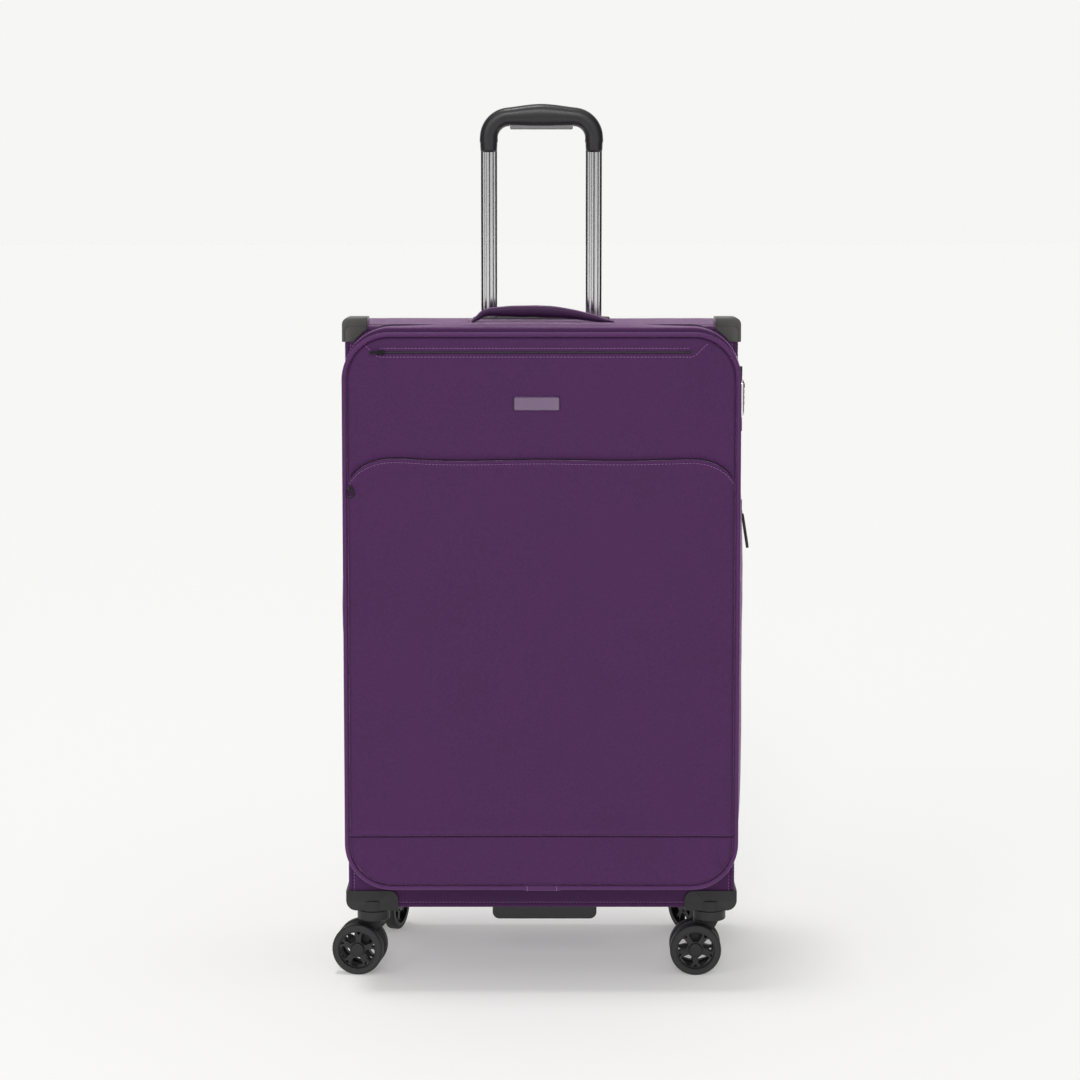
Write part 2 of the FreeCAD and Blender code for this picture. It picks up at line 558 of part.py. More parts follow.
def add_lock():
    case = lock_plate()
    for n in range(DIALS):
        z = LOCK_Z + (n - 1) * DIAL_PITCH - DIAL_THICK / 2
        well = cylinder(DIAL_R + GAP, Vector(DIAL_X, LOCK_DIAL_Y, z - GAP), Z, DIAL_THICK + 2 * GAP)
        case = case.cut(well)
        for name in ("body_shell", "body_lining"):
            parts[name] = parts[name].cut(well)
        parts["lock_dial_%d" % (n + 1)] = dial(z)
    low, face = LOCK_Z + RELEASE_RISE, LOCK_FACE
    near, far = LOCK_DIAL_Y - 5, LOCK_DIAL_Y + 5
    slot = box(face - 2.6, face + 1, near - GAP, far + GAP, low - GAP - LOCK_TRAVEL, low + 6 + GAP)
    button = box(face - 2.3, face + 1.6, near, far, low, low + 6)
    parts["lock_release"] = fillet(button, 0.8, lambda b: b.XMin > face + 1.5)
    key_z = LOCK_Z - KEY_DROP
    key_hole = cylinder(KEY_R + RUNNING, Vector(face - 4, LOCK_DIAL_Y, key_z), X, 8)
    plug = cylinder(KEY_R, Vector(face - 3.9, LOCK_DIAL_Y, key_z), X, 4.4)
    key_slit = box(face - 1.2, face + 2, LOCK_DIAL_Y - 0.6, LOCK_DIAL_Y + 0.6, key_z - 2.6, key_z + 2.6)
    parts["lock_cylinder"] = plug.cut(key_slit)
    parts["lock_case"] = case.cut(slot).cut(key_hole)


def slider_block(proud, length=SLIDER_LONG, wide=SLIDER_WIDE):
    """A zip slider seen from outside: a low block with a bridge for its pull, on the plane x = 0."""
    base = box(0.6, 0.6 + proud, -wide / 2, wide / 2, -length / 2, length / 2)
    base = fillet(base, min(proud, wide) * 0.3, lambda b: b.XLength > proud - 0.01)
    rail = box(0.6 + proud, proud + 3.6, -1.3, 1.3, -length / 2 + 1, length / 2 - 1)
    hole = cylinder(1.0, Vector(proud + PULL_STAND, -5, -length / 2 + 3.4), Y, 10)
    return base.fuse(rail).cut(hole)


def expansion_pivot():
    return Vector(BODY_HALF + 0.1 + EXPANSION_PROUD + PULL_STAND, EXPANSION_Y, EXPANSION_Z - 3.6)


def add_sliders():
    seam = (BODY_FRONT + LID_REAR) / 2
    wall = BODY_HALF + 0.1
    away = LOCK_TALL / 2 + 12
    for name, z, flip in (("upper", LOCK_Z + away, False), ("lower", LOCK_Z - away, True)):
        slider = slider_block(SLIDER_PROUD)
        ring = box(3.6, 5.4, -4.5, 4.5, -12.0, -1.0).cut(box(3.0, 6.0, -2.7, 2.7, -10.0, -2.6))
        ring = fillet(ring, 1.6, lambda b: b.XLength > 1.79 and b.ZMin < -11.9)
        pair = slider.cut(box(3.4, 5.6, -4.7, 4.7, -12.2, -0.9)).fuse(ring)
        if flip:
            pair.rotate(Vector(), X, 180)
        pair.translate(Vector(wall, seam + 6.4, z))
        parts["main_slider_" + name] = pair

    slider = slider_block(EXPANSION_PROUD)
    slider.translate(Vector(wall, EXPANSION_Y, EXPANSION_Z))
    parts["expansion_slider"] = slider
    pivot = expansion_pivot()
    pin = cylinder(0.9, pivot - Y * 4, Y, 8)
    frame_out = box(-1.0, 1.0, -4.2, 4.2, -9.0, 1.0)
    frame_in = box(-2.0, 2.0, -2.0, 2.0, -6.5, 2.0)
    link = frame_out.cut(frame_in)
    link.translate(pivot)
    blade_outline = ((-2.5, -9), (2.5, -9), (4.2, -40), (2.4, -52), (0, -54), (-2.4, -52), (-4.2, -40))
    blade = polygon([Vector(0, y, z) for y, z in blade_outline], X * 3.6)
    blade = fillet(blade, 0.9, lambda b: b.XLength < 0.01)
    blade.translate(pivot + X * -1.0)
    pull = union([link, blade, pin])
    pull.rotate(pivot, Y, -PULL_LEAN)
    parts["expansion_pull"] = pull

    zip_front = LID_FRONT - 0.1 - UPPER_THICK
    slider = slider_block(1.6, 9.0, 5.0)
    slider.rotate(Vector(), Z, -90)
    slider.rotate(Vector(), Y, 90)
    slider.translate(Vector(-198.0, zip_front + 0.4, POCKET_ZIP_Z))
    tab = box(-9.0, 3.0, -1.2, 0.0, -1.8, 1.8)
    tab = fillet(tab, 1.2, lambda b: b.YLength > 1.19)
    tab.translate(Vector(-203.0, zip_front - 2.9, POCKET_ZIP_Z))
    parts["pocket_slider"] = slider.cut(tab).fuse(tab)

    eye = Vector(-236.0, LID_FRONT - 0.1 - LOWER_THICK - 1.4, 640.0)
    teardrop = union([Part.makeTorus(4.0, 1.0, eye - Z * 6, Y),
                      cylinder(1.0, eye + Vector(-3.2, 0, -2.6), Vector(3.2, 0, 5.6), 6.4),
                      cylinder(1.0, eye + Vector(3.2, 0, -2.6), Vector(-3.2, 0, 5.6), 6.4)])
    parts["side_pocket_pull"] = teardrop


def pivots():
    """Where each hinge turns, in the layout frame."""
    places = {"lid": Vector(-LID_HALF - 0.3, (BODY_FRONT + LID_REAR) / 2, 0),
              "expansion_pull": expansion_pivot(),
              "side_pocket_pull": Vector(-236.0, LID_FRONT - 0.1 - LOWER_THICK - 1.4, 643.4),
              "dials": Vector(DIAL_X, LOCK_DIAL_Y, LOCK_Z),
              "lock_cylinder": Vector(LOCK_FACE, LOCK_DIAL_Y, LOCK_Z - KEY_DROP)}
    for name in CASTERS:
        place = caster_place(name)
        places["swivel_" + name] = place.multVec(Vector(0, 0, FORK_TOP))
        places["spin_" + name] = place.multVec(Vector(-TRAIL, 0, WHEEL_R))
        places["spin_axis_" + name] = place.Rotation.multVec(Y)
    return places


def build():
    screws = [screw(*place) for name in CASTERS for place in screw_places(name)]
    add_body(screws)
    add_housings(screws)
    add_casters()
    add_bottom_grip()
    add_carry_handles()
    add_handle()
    add_lid()
    add_lock()
    add_sliders()
    whole = Part.makeCompound(list(parts.values())).optimalBoundingBox(False)
    shift = Vector(-(whole.XMin + whole.XMax) / 2, -(whole.YMin + whole.YMax) / 2, -whole.ZMin)
    for shape in parts.values():
        shape.translate(shift)
    return shift


SHIFT = build()
os.makedirs("parts", exist_ok=True)
for node, shape in parts.items():
    shape.exportStep("parts/%s.step" % node)
print(len(parts), "parts, moved by", SHIFT)
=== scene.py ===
"""Looks for the softside upright suitcase: soft pieces, handles, zips, materials, light and camera.

Everything is in metres in the frame of the CAD model. X runs across the case, the lid faces -Y, Z is up.
"""

import bmesh
import bpy
import math
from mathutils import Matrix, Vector, noise


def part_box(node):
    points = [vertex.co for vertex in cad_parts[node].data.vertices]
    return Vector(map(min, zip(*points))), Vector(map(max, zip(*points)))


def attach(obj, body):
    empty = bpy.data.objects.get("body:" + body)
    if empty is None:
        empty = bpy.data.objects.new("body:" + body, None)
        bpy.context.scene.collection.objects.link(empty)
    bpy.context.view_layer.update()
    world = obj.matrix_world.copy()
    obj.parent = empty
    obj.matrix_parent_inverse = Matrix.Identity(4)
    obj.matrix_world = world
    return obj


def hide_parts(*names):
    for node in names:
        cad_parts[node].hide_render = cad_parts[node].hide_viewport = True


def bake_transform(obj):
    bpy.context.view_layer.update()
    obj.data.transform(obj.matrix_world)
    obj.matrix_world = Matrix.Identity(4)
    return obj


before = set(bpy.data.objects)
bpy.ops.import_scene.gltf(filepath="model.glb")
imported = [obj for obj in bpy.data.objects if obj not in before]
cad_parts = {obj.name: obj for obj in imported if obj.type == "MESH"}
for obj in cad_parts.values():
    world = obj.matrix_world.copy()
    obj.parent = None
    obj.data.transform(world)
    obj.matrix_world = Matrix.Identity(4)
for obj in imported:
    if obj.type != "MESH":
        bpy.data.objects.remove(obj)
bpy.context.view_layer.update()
MM = 0.001

# Sizes read from the frame
BODY_LOW, BODY_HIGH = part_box("body_shell")
LID_LOW, LID_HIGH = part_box("lid_shell")
PANEL_LOW, PANEL_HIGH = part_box("upper_pocket")
POCKET_LOW, POCKET_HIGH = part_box("lower_pocket")
MIDDLE = (BODY_LOW.x + BODY_HIGH.x) / 2
BODY_HALF = (BODY_HIGH.x - BODY_LOW.x) / 2
LID_HALF = (LID_HIGH.x - LID_LOW.x) / 2
PANEL_HALF = (POCKET_HIGH.x - POCKET_LOW.x) / 2
BODY_CORNER, LID_CORNER, PANEL_CORNER = 10 * MM, 60 * MM, 53 * MM
EXPANSION_Y = sum(c.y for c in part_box("expansion_slider")) / 2
POCKET_ZIP_Z = sum(c.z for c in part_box("pocket_slider")) / 2
STITCH_LONG, STITCH_GAP, STITCH_R = 3.0 * MM, 1.3 * MM, 0.33 * MM


# Materials

SHEEN_TINT = (0.90, 0.60, 0.92, 1)


def set_sockets(node, values):
    for key, value in values.items():
        node.inputs[key].default_value = value


class Look:
    """A node material while it is put together."""

    def __init__(self, name):
        self.material = bpy.data.materials.new(name)
        self.material.use_nodes = True
        self.tree = self.material.node_tree
        self.shader = self.tree.nodes["Principled BSDF"]

    def put(self, kind, values=None, **properties):
        """Adds a shader node with the given properties and socket values."""
        node = self.tree.nodes.new(kind)
        for key, value in properties.items():
            setattr(node, key, value)
        set_sockets(node, values or {})
        return node

    def link(self, source, target):
        self.tree.links.new(source, target)

    def maths(self, operation, first, second=None, clamp=False):
        node = self.put("ShaderNodeMath", operation=operation, use_clamp=clamp)
        for socket, value in zip(node.inputs, (first, second)):
            if hasattr(value, "links"):
                self.link(value, socket)
            elif value is not None:
                socket.default_value = value
        return node.outputs[0]

    def add(self, first, second):
        return self.maths("ADD", first, second)

    def times(self, first, second):
        return self.maths("MULTIPLY", first, second)

    def texture(self, place, scale, detail, roughness):
        """A noise pattern at a place in the object's own space."""
        pattern = self.put("ShaderNodeTexNoise", {"Scale": scale, "Detail": detail, "Roughness": roughness})
        self.link(place, pattern.inputs["Vector"])
        return pattern.outputs["Fac"]

    def tones(self, amount, dark, light, low=0.0, high=1.0):
        """Base colour that runs between two tones."""
        node = self.put("ShaderNodeValToRGB")
        for n, (place, colour) in enumerate(((low, dark), (high, light))):
            stop = node.color_ramp.elements[n]
            stop.position, stop.color = place, (*colour, 1)
        self.link(amount, node.inputs["Fac"])
        self.link(node.outputs["Color"], self.shader.inputs["Base Color"])

    def roughness(self, pattern, swing, least):
        self.link(self.add(self.times(pattern, swing), least), self.shader.inputs["Roughness"])

    def relief(self, height, strength, depth):
        bump = self.put("ShaderNodeBump", {"Strength": strength, "Distance": depth * MM})
        self.link(height, bump.inputs["Height"])
        self.link(bump.outputs["Normal"], self.shader.inputs["Normal"])


def weave(look, pitch):
    """Basket weave seen square on: the two directions that lie in the surface, picked by its normal."""
    place = look.put("ShaderNodeTexCoord")
    spot = look.put("ShaderNodeSeparateXYZ")
    facing = look.put("ShaderNodeSeparateXYZ")
    look.link(place.outputs["Object"], spot.inputs[0])
    look.link(place.outputs["Normal"], facing.inputs[0])
    waves = [look.maths("SINE", look.times(spot.outputs[axis], math.tau / pitch)) for axis in range(3)]
    total = None
    for axis in range(3):
        pair = look.times(waves[(axis + 1) % 3], waves[(axis + 2) % 3])
        share = look.maths("POWER", look.maths("ABSOLUTE", facing.outputs[axis]), 4.0)
        part = look.times(pair, share)
        total = part if total is None else look.add(total, part)
    return place.outputs["Object"], total


def fabric(name, dark, light, pitch=0.9 * MM, rough=0.62, sheen=0.8, depth=0.12):
    """Woven cloth: threads in relief, slightly uneven colour and a soft sheen."""
    look = Look(name)
    place, threads = weave(look, pitch)
    patches = look.texture(place, 9.0, 4.0, 0.6)
    slubs = look.texture(place, 420.0, 2.0, 0.7)
    mottle = look.add(look.times(threads, 0.16), look.times(patches, 0.30))
    look.tones(look.add(mottle, look.times(slubs, 0.70)), dark, light, 0.15, 0.85)
    look.relief(look.add(threads, look.times(slubs, 1.2)), 0.5, depth)
    look.roughness(patches, 0.12, rough - 0.06)
    set_sockets(look.shader, {"Sheen Weight": sheen, "Sheen Roughness": 0.3, "Sheen Tint": SHEEN_TINT,
                              "Specular IOR Level": 0.25})
    return look.material


def plastic(name, colour, rough=0.45, grain=900.0, depth=0.05, wear=0.03):
    """Moulded plastic: fine spark-eroded grain, faint scuffs, and slightly paler worn edges."""
    look = Look(name)
    place = look.put("ShaderNodeTexCoord").outputs["Object"]
    fine = look.texture(place, grain, 3.0, 0.6)
    broad = look.texture(place, 22.0, 5.0, 0.65)
    edge = look.put("ShaderNodeNewGeometry").outputs["Pointiness"]
    worn = look.maths("MULTIPLY", look.maths("SUBTRACT", edge, 0.52), 6.0, clamp=True)
    paler = [c + wear for c in colour]
    mix = look.put("ShaderNodeMix", {"A": (*colour, 1), "B": (*paler, 1)}, data_type="RGBA")
    look.link(look.maths("ADD", look.times(broad, 0.5), worn, clamp=True), mix.inputs["Factor"])
    look.link(mix.outputs["Result"], look.shader.inputs["Base Color"])
    look.roughness(broad, 0.18, rough - 0.09)
    look.relief(fine, 0.35, depth)
    return look.material


def metal(name, colour, rough=0.18, stretch=(400.0, 400.0, 6.0), depth=0.01):
    """Drawn or polished metal with fine lengthwise lines."""
    look = Look(name)
    mapping = look.put("ShaderNodeMapping", {"Scale": stretch})
    look.link(look.put("ShaderNodeTexCoord").outputs["Object"], mapping.inputs["Vector"])
    lines = look.texture(mapping.outputs["Vector"], 5.0, 4.0, 0.6)
    look.tones(lines, [c * 0.86 for c in colour], colour)
    look.roughness(lines, 0.12, rough - 0.05)
    look.relief(lines, 0.2, depth)
    set_sockets(look.shader, {"Metallic": 1.0})
    return look.material


CASE = fabric("case_cloth", (0.044, 0.0095, 0.058), (0.086, 0.0190, 0.108))
PIPING = fabric("piping_cloth", (0.058, 0.014, 0.074), (0.112, 0.028, 0.140), 0.7 * MM, rough=0.45, sheen=0.5)
HANDLE_CLOTH = fabric("handle_cloth", (0.032, 0.0080, 0.041), (0.062, 0.0160, 0.076), 0.8 * MM, rough=0.58)
LINING = fabric("lining_cloth", (0.10, 0.10, 0.11), (0.19, 0.19, 0.20), 0.6 * MM, sheen=0.1, depth=0.06)
WEBBING = fabric("strap_webbing", (0.02, 0.02, 0.022), (0.05, 0.05, 0.055), 1.6 * MM, depth=0.3)
TAPE = fabric("zip_tape_cloth", (0.030, 0.012, 0.038), (0.058, 0.024, 0.072), 0.6 * MM, depth=0.08)
THREAD = fabric("stitch_thread", (0.24, 0.10, 0.28), (0.42, 0.22, 0.46), 0.35 * MM, rough=0.5, depth=0.03)
# Near-black cord laid along the band seam and under the lower pocket's top edge; its darkness stands in for
# the shade in those gaps (painted shade).
PAINTED_SHADE_CORD = fabric("seam_painted_shade", (0.006, 0.003, 0.008), (0.012, 0.006, 0.015), 0.5 * MM, sheen=0.0, depth=0.05)
COIL = plastic("zip_coil", (0.008, 0.006, 0.009), rough=0.4, wear=0.008)
# Corner caps are black plastic; this paler grey base stands in for the highlight on their glossy faces
# (painted highlight).
GUARD_PAINTED_HIGHLIGHT = plastic("guard_moulding_painted_highlight", (0.062, 0.062, 0.058), rough=0.30, wear=0.04)
BLACK = plastic("black_moulding", (0.008, 0.008, 0.0085), rough=0.46, wear=0.012)
GRIP = plastic("grip_skin", (0.020, 0.018, 0.021), rough=0.36, depth=0.02, wear=0.012)
BUTTON = plastic("button_moulding", (0.20, 0.19, 0.20), rough=0.4)
WHEEL = plastic("wheel_moulding", (0.007, 0.0068, 0.0075), rough=0.42, wear=0.010)
TYRE = plastic("tyre_tread", (0.013, 0.013, 0.014), rough=0.58, grain=300.0, depth=0.12, wear=0.012)
BOARD = plastic("sheet_board", (0.10, 0.10, 0.10), rough=0.5)
GLOSS = plastic("lock_moulding", (0.012, 0.012, 0.012), rough=0.2, depth=0.01)
EVEN = (60.0, 60.0, 60.0)
BRIGHT = metal("polished_tube", (0.80, 0.80, 0.82), rough=0.12)
SATIN = metal("satin_tube", (0.60, 0.60, 0.62), rough=0.3)
STEEL = metal("zinc_steel", (0.55, 0.55, 0.56), rough=0.3, stretch=EVEN)
CHROME = metal("lock_chrome", (0.82, 0.82, 0.84), rough=0.10, stretch=(40.0, 40.0, 40.0))
PLATE = metal("plate_metal", (0.33, 0.235, 0.36), rough=0.34, stretch=(8.0, 300.0, 300.0))
RIM = metal("plate_rim_metal", (0.13, 0.085, 0.15), rough=0.3, stretch=EVEN)
GUNMETAL = metal("black_plating", (0.05, 0.05, 0.052), rough=0.28, stretch=EVEN)


# Mesh helpers

def make_object(name, points, faces, material, smooth=True):
    mesh = bpy.data.meshes.new(name)
    mesh.from_pydata([tuple(p) for p in points], [], faces)
    mesh.validate()
    shape = bmesh.new()
    shape.from_mesh(mesh)
    bmesh.ops.recalc_face_normals(shape, faces=shape.faces)
    shape.to_mesh(mesh)
    shape.free()
    mesh.materials.append(material)
    mesh.shade_smooth() if smooth else mesh.shade_flat()
    made = bpy.data.objects.new(name, mesh)
    bpy.context.scene.collection.objects.link(made)
    return made


def add_piece(name, shape, material, body, slot, *replaced):
    """Makes a piece from (points, faces) and finishes it."""
    return finish_piece(make_object(name, *shape, material), body, slot, *replaced)


def finish_piece(piece, body, slot, *replaced):
    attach(piece, body)
    if replaced:
        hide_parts(*replaced)
    return piece


def apply_modifiers(piece):
    """Turns a piece's modifiers into its mesh."""
    bpy.context.view_layer.update()
    graph = bpy.context.evaluated_depsgraph_get()
    mesh = bpy.data.meshes.new_from_object(piece.evaluated_get(graph))
    piece.modifiers.clear()
    piece.data = mesh
    return piece


def extruded(corners, y_low, y_high):
    """A solid between two depths from an outline in the x-z plane."""
    count = len(corners)
    points = [(x, y, z) for y in (y_low, y_high) for x, z in corners]
    sides = [(k, (k + 1) % count, count + (k + 1) % count, count + k) for k in range(count)]
    return points, sides + [tuple(range(count)), tuple(range(2 * count - 1, count - 1, -1))]


def carve(piece, low, high):
    """Cuts a box out of a piece."""
    corners = [(low[0], low[2]), (high[0], low[2]), (high[0], high[2]), (low[0], high[2])]
    cutter = make_object("cutter", *extruded(corners, low[1], high[1]), BLACK, smooth=False)
    cut = piece.modifiers.new("cut", "BOOLEAN")
    cut.operation, cut.solver, cut.object = "DIFFERENCE", "EXACT", cutter
    apply_modifiers(piece)
    bpy.data.objects.remove(cutter)
    return piece


def clear_out(piece, low, high):
    """Removes whatever lies inside a box."""
    shape = bmesh.new()
    shape.from_mesh(piece.data)
    inside = [v for v in shape.verts if all(a < b < c for a, b, c in zip(low, v.co, high))]
    bmesh.ops.delete(shape, geom=inside, context="VERTS")
    shape.to_mesh(piece.data)
    shape.free()


def smoothstep(low, high, value):
    t = min(max((value - low) / (high - low), 0.0), 1.0)
    return t * t * (3 - 2 * t)


def ring(half, low, high, radius, steps):
    """Points (x, z) and outward normals round a rectangle with round corners, from the right-hand side up."""
    across, up, turn = steps
    points = []
    walls = ((half, high, 0, up, (0, 1)), (-half, high, 90, across, (-1, 0)),
             (-half, low, 180, up, (0, -1)), (half, low, 270, across, (1, 0)))
    for x, z, start, count, along in walls:
        centre_x = x - math.copysign(radius, x)
        centre_z = z - radius if z == high else z + radius
        length = (high - low - 2 * radius) if along[0] == 0 else 2 * (half - radius)
        first = (centre_x + radius * math.cos(math.radians(start)),
                 centre_z + radius * math.sin(math.radians(start)))
        normal = (math.cos(math.radians(start)), math.sin(math.radians(start)))
        for n in range(count):
            back = length * (1 - n / count)
            points.append((first[0] - along[0] * back, first[1] - along[1] * back, *normal))
        for n in range(turn):
            a = math.radians(start + 90 * n / turn)
            points.append((centre_x + radius * math.cos(a), centre_z + radius * math.sin(a), math.cos(a),
                           math.sin(a)))
    return points


def loft(rings, cap_last=False, cap_first=False):
    """Faces between rings of equal length."""
    count = len(rings[0])
    points = [p for r in rings for p in r]
    faces = []
    for n in range(len(rings) - 1):
        for k in range(count):
            a, b = n * count + k, n * count + (k + 1) % count
            faces.append((a, b, b + count, a + count))
    if cap_last:
        faces.append(tuple(range((len(rings) - 1) * count, len(rings) * count)))
    if cap_first:
        faces.append(tuple(reversed(range(count))))
    return points, faces


def grid_faces(rows, width):
    """Faces of a grid of rows by width points."""
    starts = [j * width + k for j in range(rows - 1) for k in range(width - 1)]
    return [(a, a + 1, a + 1 + width, a + width) for a in starts]


def grid_rim(rows, width):
    """The points round the edge of a grid, in order."""
    rim = list(range(width)) + [j * width + width - 1 for j in range(1, rows)]
    rim += [(rows - 1) * width + k for k in range(width - 2, -1, -1)]
    return rim + [j * width for j in range(rows - 2, 0, -1)]


def sheet_faces(rows, width):
    """Faces of a thin sheet: a front grid, the back grid after it, and the rim between them."""
    size, front, rim = rows * width, grid_faces(rows, width), grid_rim(rows, width)
    back = [tuple(size + v for v in reversed(face)) for face in front]
    return front + back + [(a, size + a, size + b, b) for a, b in zip(rim, rim[1:] + rim[:1])]


def closed_loft(rings):
    """Faces between rings, the last joined to the first."""
    points, faces = loft(rings + [rings[0]])
    seam = len(points) - len(rings[0])
    return points[:seam], [tuple(v % seam for v in f) for f in faces]


def ripple(x, y, z, scale, size):
    """Soft uneven cloth, the same on every run."""
    return size * noise.noise(Vector((x, y, z)) * scale)


def tube(route, radius, sides=10, closed=True, up=Vector((0, 1, 0))):
    """Rings of points round a route, for piping and wire."""
    rings = []
    count = len(route)
    for n, point in enumerate(route):
        after = route[(n + 1) % count] if closed or n + 1 < count else point
        before = route[n - 1] if closed or n > 0 else point
        along = (Vector(after) - Vector(before)).normalized()
        side = along.cross(up).normalized()
        top = side.cross(along).normalized()
        size = radius(n / count) if callable(radius) else radius
        rings.append([Vector(point) + side * size * math.cos(math.tau * k / sides)
                      + top * size * math.sin(math.tau * k / sides) for k in range(sides)])
    return closed_loft(rings) if closed else loft(rings, cap_last=True, cap_first=True)


def join_lists(made):
    """Adds up (points, faces) pairs."""
    points, faces = [], []
    for some, these in made:
        base = len(points)
        points += list(some)
        faces += [tuple(v + base for v in f) for f in these]
    return points, faces


def even_route(route, step, closed=False):
    """Points at equal steps along a route."""
    corners = [Vector(p) for p in route] + ([Vector(route[0])] if closed else [])
    placed, carried = [], 0.0
    for a, b in zip(corners, corners[1:]):
        length = (b - a).length
        while carried < length:
            placed.append(a.lerp(b, carried / length))
            carried += step
        carried -= length
    return placed


# Along the thread, height and thickness of each ring of a stitch, and the six directions round it
STITCH_FORM = ((-0.5, -0.5, 0.5), (-0.32, 0.5, 0.95), (0.0, 0.8, 1.0), (0.32, 0.5, 0.95), (0.5, -0.5, 0.5))
SIX_WAYS = [(math.cos(math.tau * k / 6), math.sin(math.tau * k / 6)) for k in range(6)]


def stitches(route, normal, closed=False, long=STITCH_LONG, gap=STITCH_GAP, radius=STITCH_R):
    """A row of short raised threads that dip into the cloth at both ends."""
    spots = even_route(route, (long + gap) / 2, closed)
    made = []
    for a, b in zip(spots[0::2], spots[1::2]):
        along = b - a
        if along.length < 1e-6:
            continue
        along = along.normalized()
        middle = (a + b) / 2
        face = Vector(normal(middle)) if callable(normal) else Vector(normal)
        side = along.cross(face).normalized()
        rings = []
        for t, rise, size in STITCH_FORM:
            centre = middle + along * long * t + face * radius * rise
            rings.append([centre + (side * c + face * s) * radius * size for c, s in SIX_WAYS])
        made.append(loft(rings, True, True))
    return join_lists(made)


def zip_teeth(route, outward, across, pitch=2.6 * MM, reach=2.0 * MM, thick=1.1 * MM):
    """One side of a coil zip: a small hump for each turn of the coil."""
    made = []
    spots = even_route(route, pitch / 2, True)
    for a, b in zip(spots[0::2], spots[1::2]):
        along = (b - a).normalized() * pitch * 0.31
        out = Vector(outward(a)) * thick
        side = Vector(across) * reach
        corner = [a - along, a + along, a + along + side, a - along + side]
        top = [p + out for p in (a - along * 0.6, a + along * 0.6, a + along * 0.6 + side,
                                 a - along * 0.6 + side)]
        faces = [(0, 1, 5, 4), (1, 2, 6, 5), (2, 3, 7, 6), (3, 0, 4, 7), (4, 5, 6, 7), (3, 2, 1, 0)]
        made.append((corner + top, faces))
    return join_lists(made)


# Body: the soft shell behind the main zip

BODY_STEPS = (56, 84, 8)
FRONT_Y, BACK_Y = BODY_LOW.y, BODY_HIGH.y
BACK_ROUND = 9 * MM
EDGE_ROUND = 3 * MM
SEAM_IN = 5.5 * MM
OPENING = (LID_HALF - 10 * MM, LID_LOW.z + 10 * MM, LID_HIGH.z - 10 * MM, LID_CORNER - 10 * MM)


def outline(inset, steps=BODY_STEPS):
    """The body's outline, moved inwards."""
    radius = max(BODY_CORNER - inset, 1 * MM)
    return ring(BODY_HALF - inset, BODY_LOW.z + inset, BODY_HIGH.z - inset, radius, steps)


def lid_outline(inset, steps=BODY_STEPS):
    return ring(LID_HALF - inset, LID_LOW.z + inset, LID_HIGH.z - inset, LID_CORNER - inset, steps)


def blend_rings(first, second, share):
    return [tuple(a + (b - a) * share for a, b in zip(p, q)) for p, q in zip(first, second)]


def at_depth(points, y, lift=None):
    """Puts a ring in the x-z plane at a depth, each point moved out along its normal by lift(...)."""
    placed = []
    for x, z, nx, nz in points:
        out = lift(x, y, z, nx, nz) if lift else 0.0
        placed.append((MIDDLE + x + nx * out, y, z + nz * out))
    return placed


def bump_at(value, centre, width, height):
    return height * math.exp(-((value - centre) / width) ** 2)


def side_lift(x, y, z, nx, nz):
    """How far the side cloth stands off its board: loose in the middle, drawn in at the zip and seams."""
    free = smoothstep(EXPANSION_Y + 6 * MM, EXPANSION_Y + 60 * MM, y)
    free *= 1 - smoothstep(BACK_Y - 70 * MM, BACK_Y - 12 * MM, y)
    tall = BODY_HIGH.z - BODY_LOW.z
    level = math.sin(math.pi * (z - BODY_LOW.z) / tall) ** 0.5 if BODY_LOW.z < z < BODY_HIGH.z else 0.0
    swell = free * (1.3 * MM * abs(nx) * level + 0.5 * MM * max(nz, 0.0))
    cloth = ripple(x, y, z, 9.0, 0.55 * MM) + ripple(x, y, z, 31.0, 0.28 * MM)
    fold = sum(bump_at(y, EXPANSION_Y + side * 7 * MM, 1.6 * MM, 0.7 * MM) for side in (-1, 1))
    track = bump_at(y, EXPANSION_Y, 4.0 * MM, -1.3 * MM)
    loose = swell + cloth * smoothstep(FRONT_Y, FRONT_Y + 20 * MM, y) + fold + track
    folded = max(-nx, 0.0) * (1 - smoothstep(0.0, 30 * MM, y))
    return loose * (1 - folded) - 0.6 * MM * folded * smoothstep(FRONT_Y + 3 * MM, FRONT_Y + 8 * MM, y)


def front_rings():
    """From the edge of the opening out across the front frame."""
    opening = ring(*OPENING, BODY_STEPS)
    rings = [at_depth(opening, FRONT_Y + 3.4 * MM), at_depth(opening, FRONT_Y + 0.8 * MM)]
    seam = outline(SEAM_IN)
    for share in (0.02, 0.06, 0.12, 0.2, 0.3, 0.4, 0.5, 0.6, 0.7, 0.8, 0.88, 0.94, 0.98):
        level = blend_rings(opening, seam, share)
        puff = 0.9 * MM * math.sin(math.pi * share)
        low = 1.0 if share < 0.9 else 0.4
        rings.append([(MIDDLE + x, FRONT_Y
                       - (puff + ripple(x, 0, z, 26.0, 0.5 * MM) * low) * smoothstep(0.0, 0.2, share), z)
                      for x, z, *_ in level])
    rings.append(at_depth(seam, FRONT_Y + 0.7 * MM))
    rings.append(at_depth(outline(SEAM_IN - 0.7 * MM), FRONT_Y - 0.1 * MM))
    for inset in (SEAM_IN - 1.6 * MM, EDGE_ROUND):
        rings.append(at_depth(outline(inset), FRONT_Y - 0.35 * MM))
    return rings


def side_rings():
    rings = []
    for turn in (18, 36, 54, 72, 90):
        a = math.radians(turn)
        rings.append(at_depth(outline(EDGE_ROUND * (1 - math.sin(a))),
                              FRONT_Y + EDGE_ROUND * (1 - math.cos(a))))
    y = FRONT_Y + EDGE_ROUND
    while y < BACK_Y - BACK_ROUND - 1 * MM:
        near = abs(y - EXPANSION_Y) < 12 * MM
        y += 1.2 * MM if near else 5 * MM
        rings.append(at_depth(outline(0.0), min(y, BACK_Y - BACK_ROUND), side_lift))
    return rings


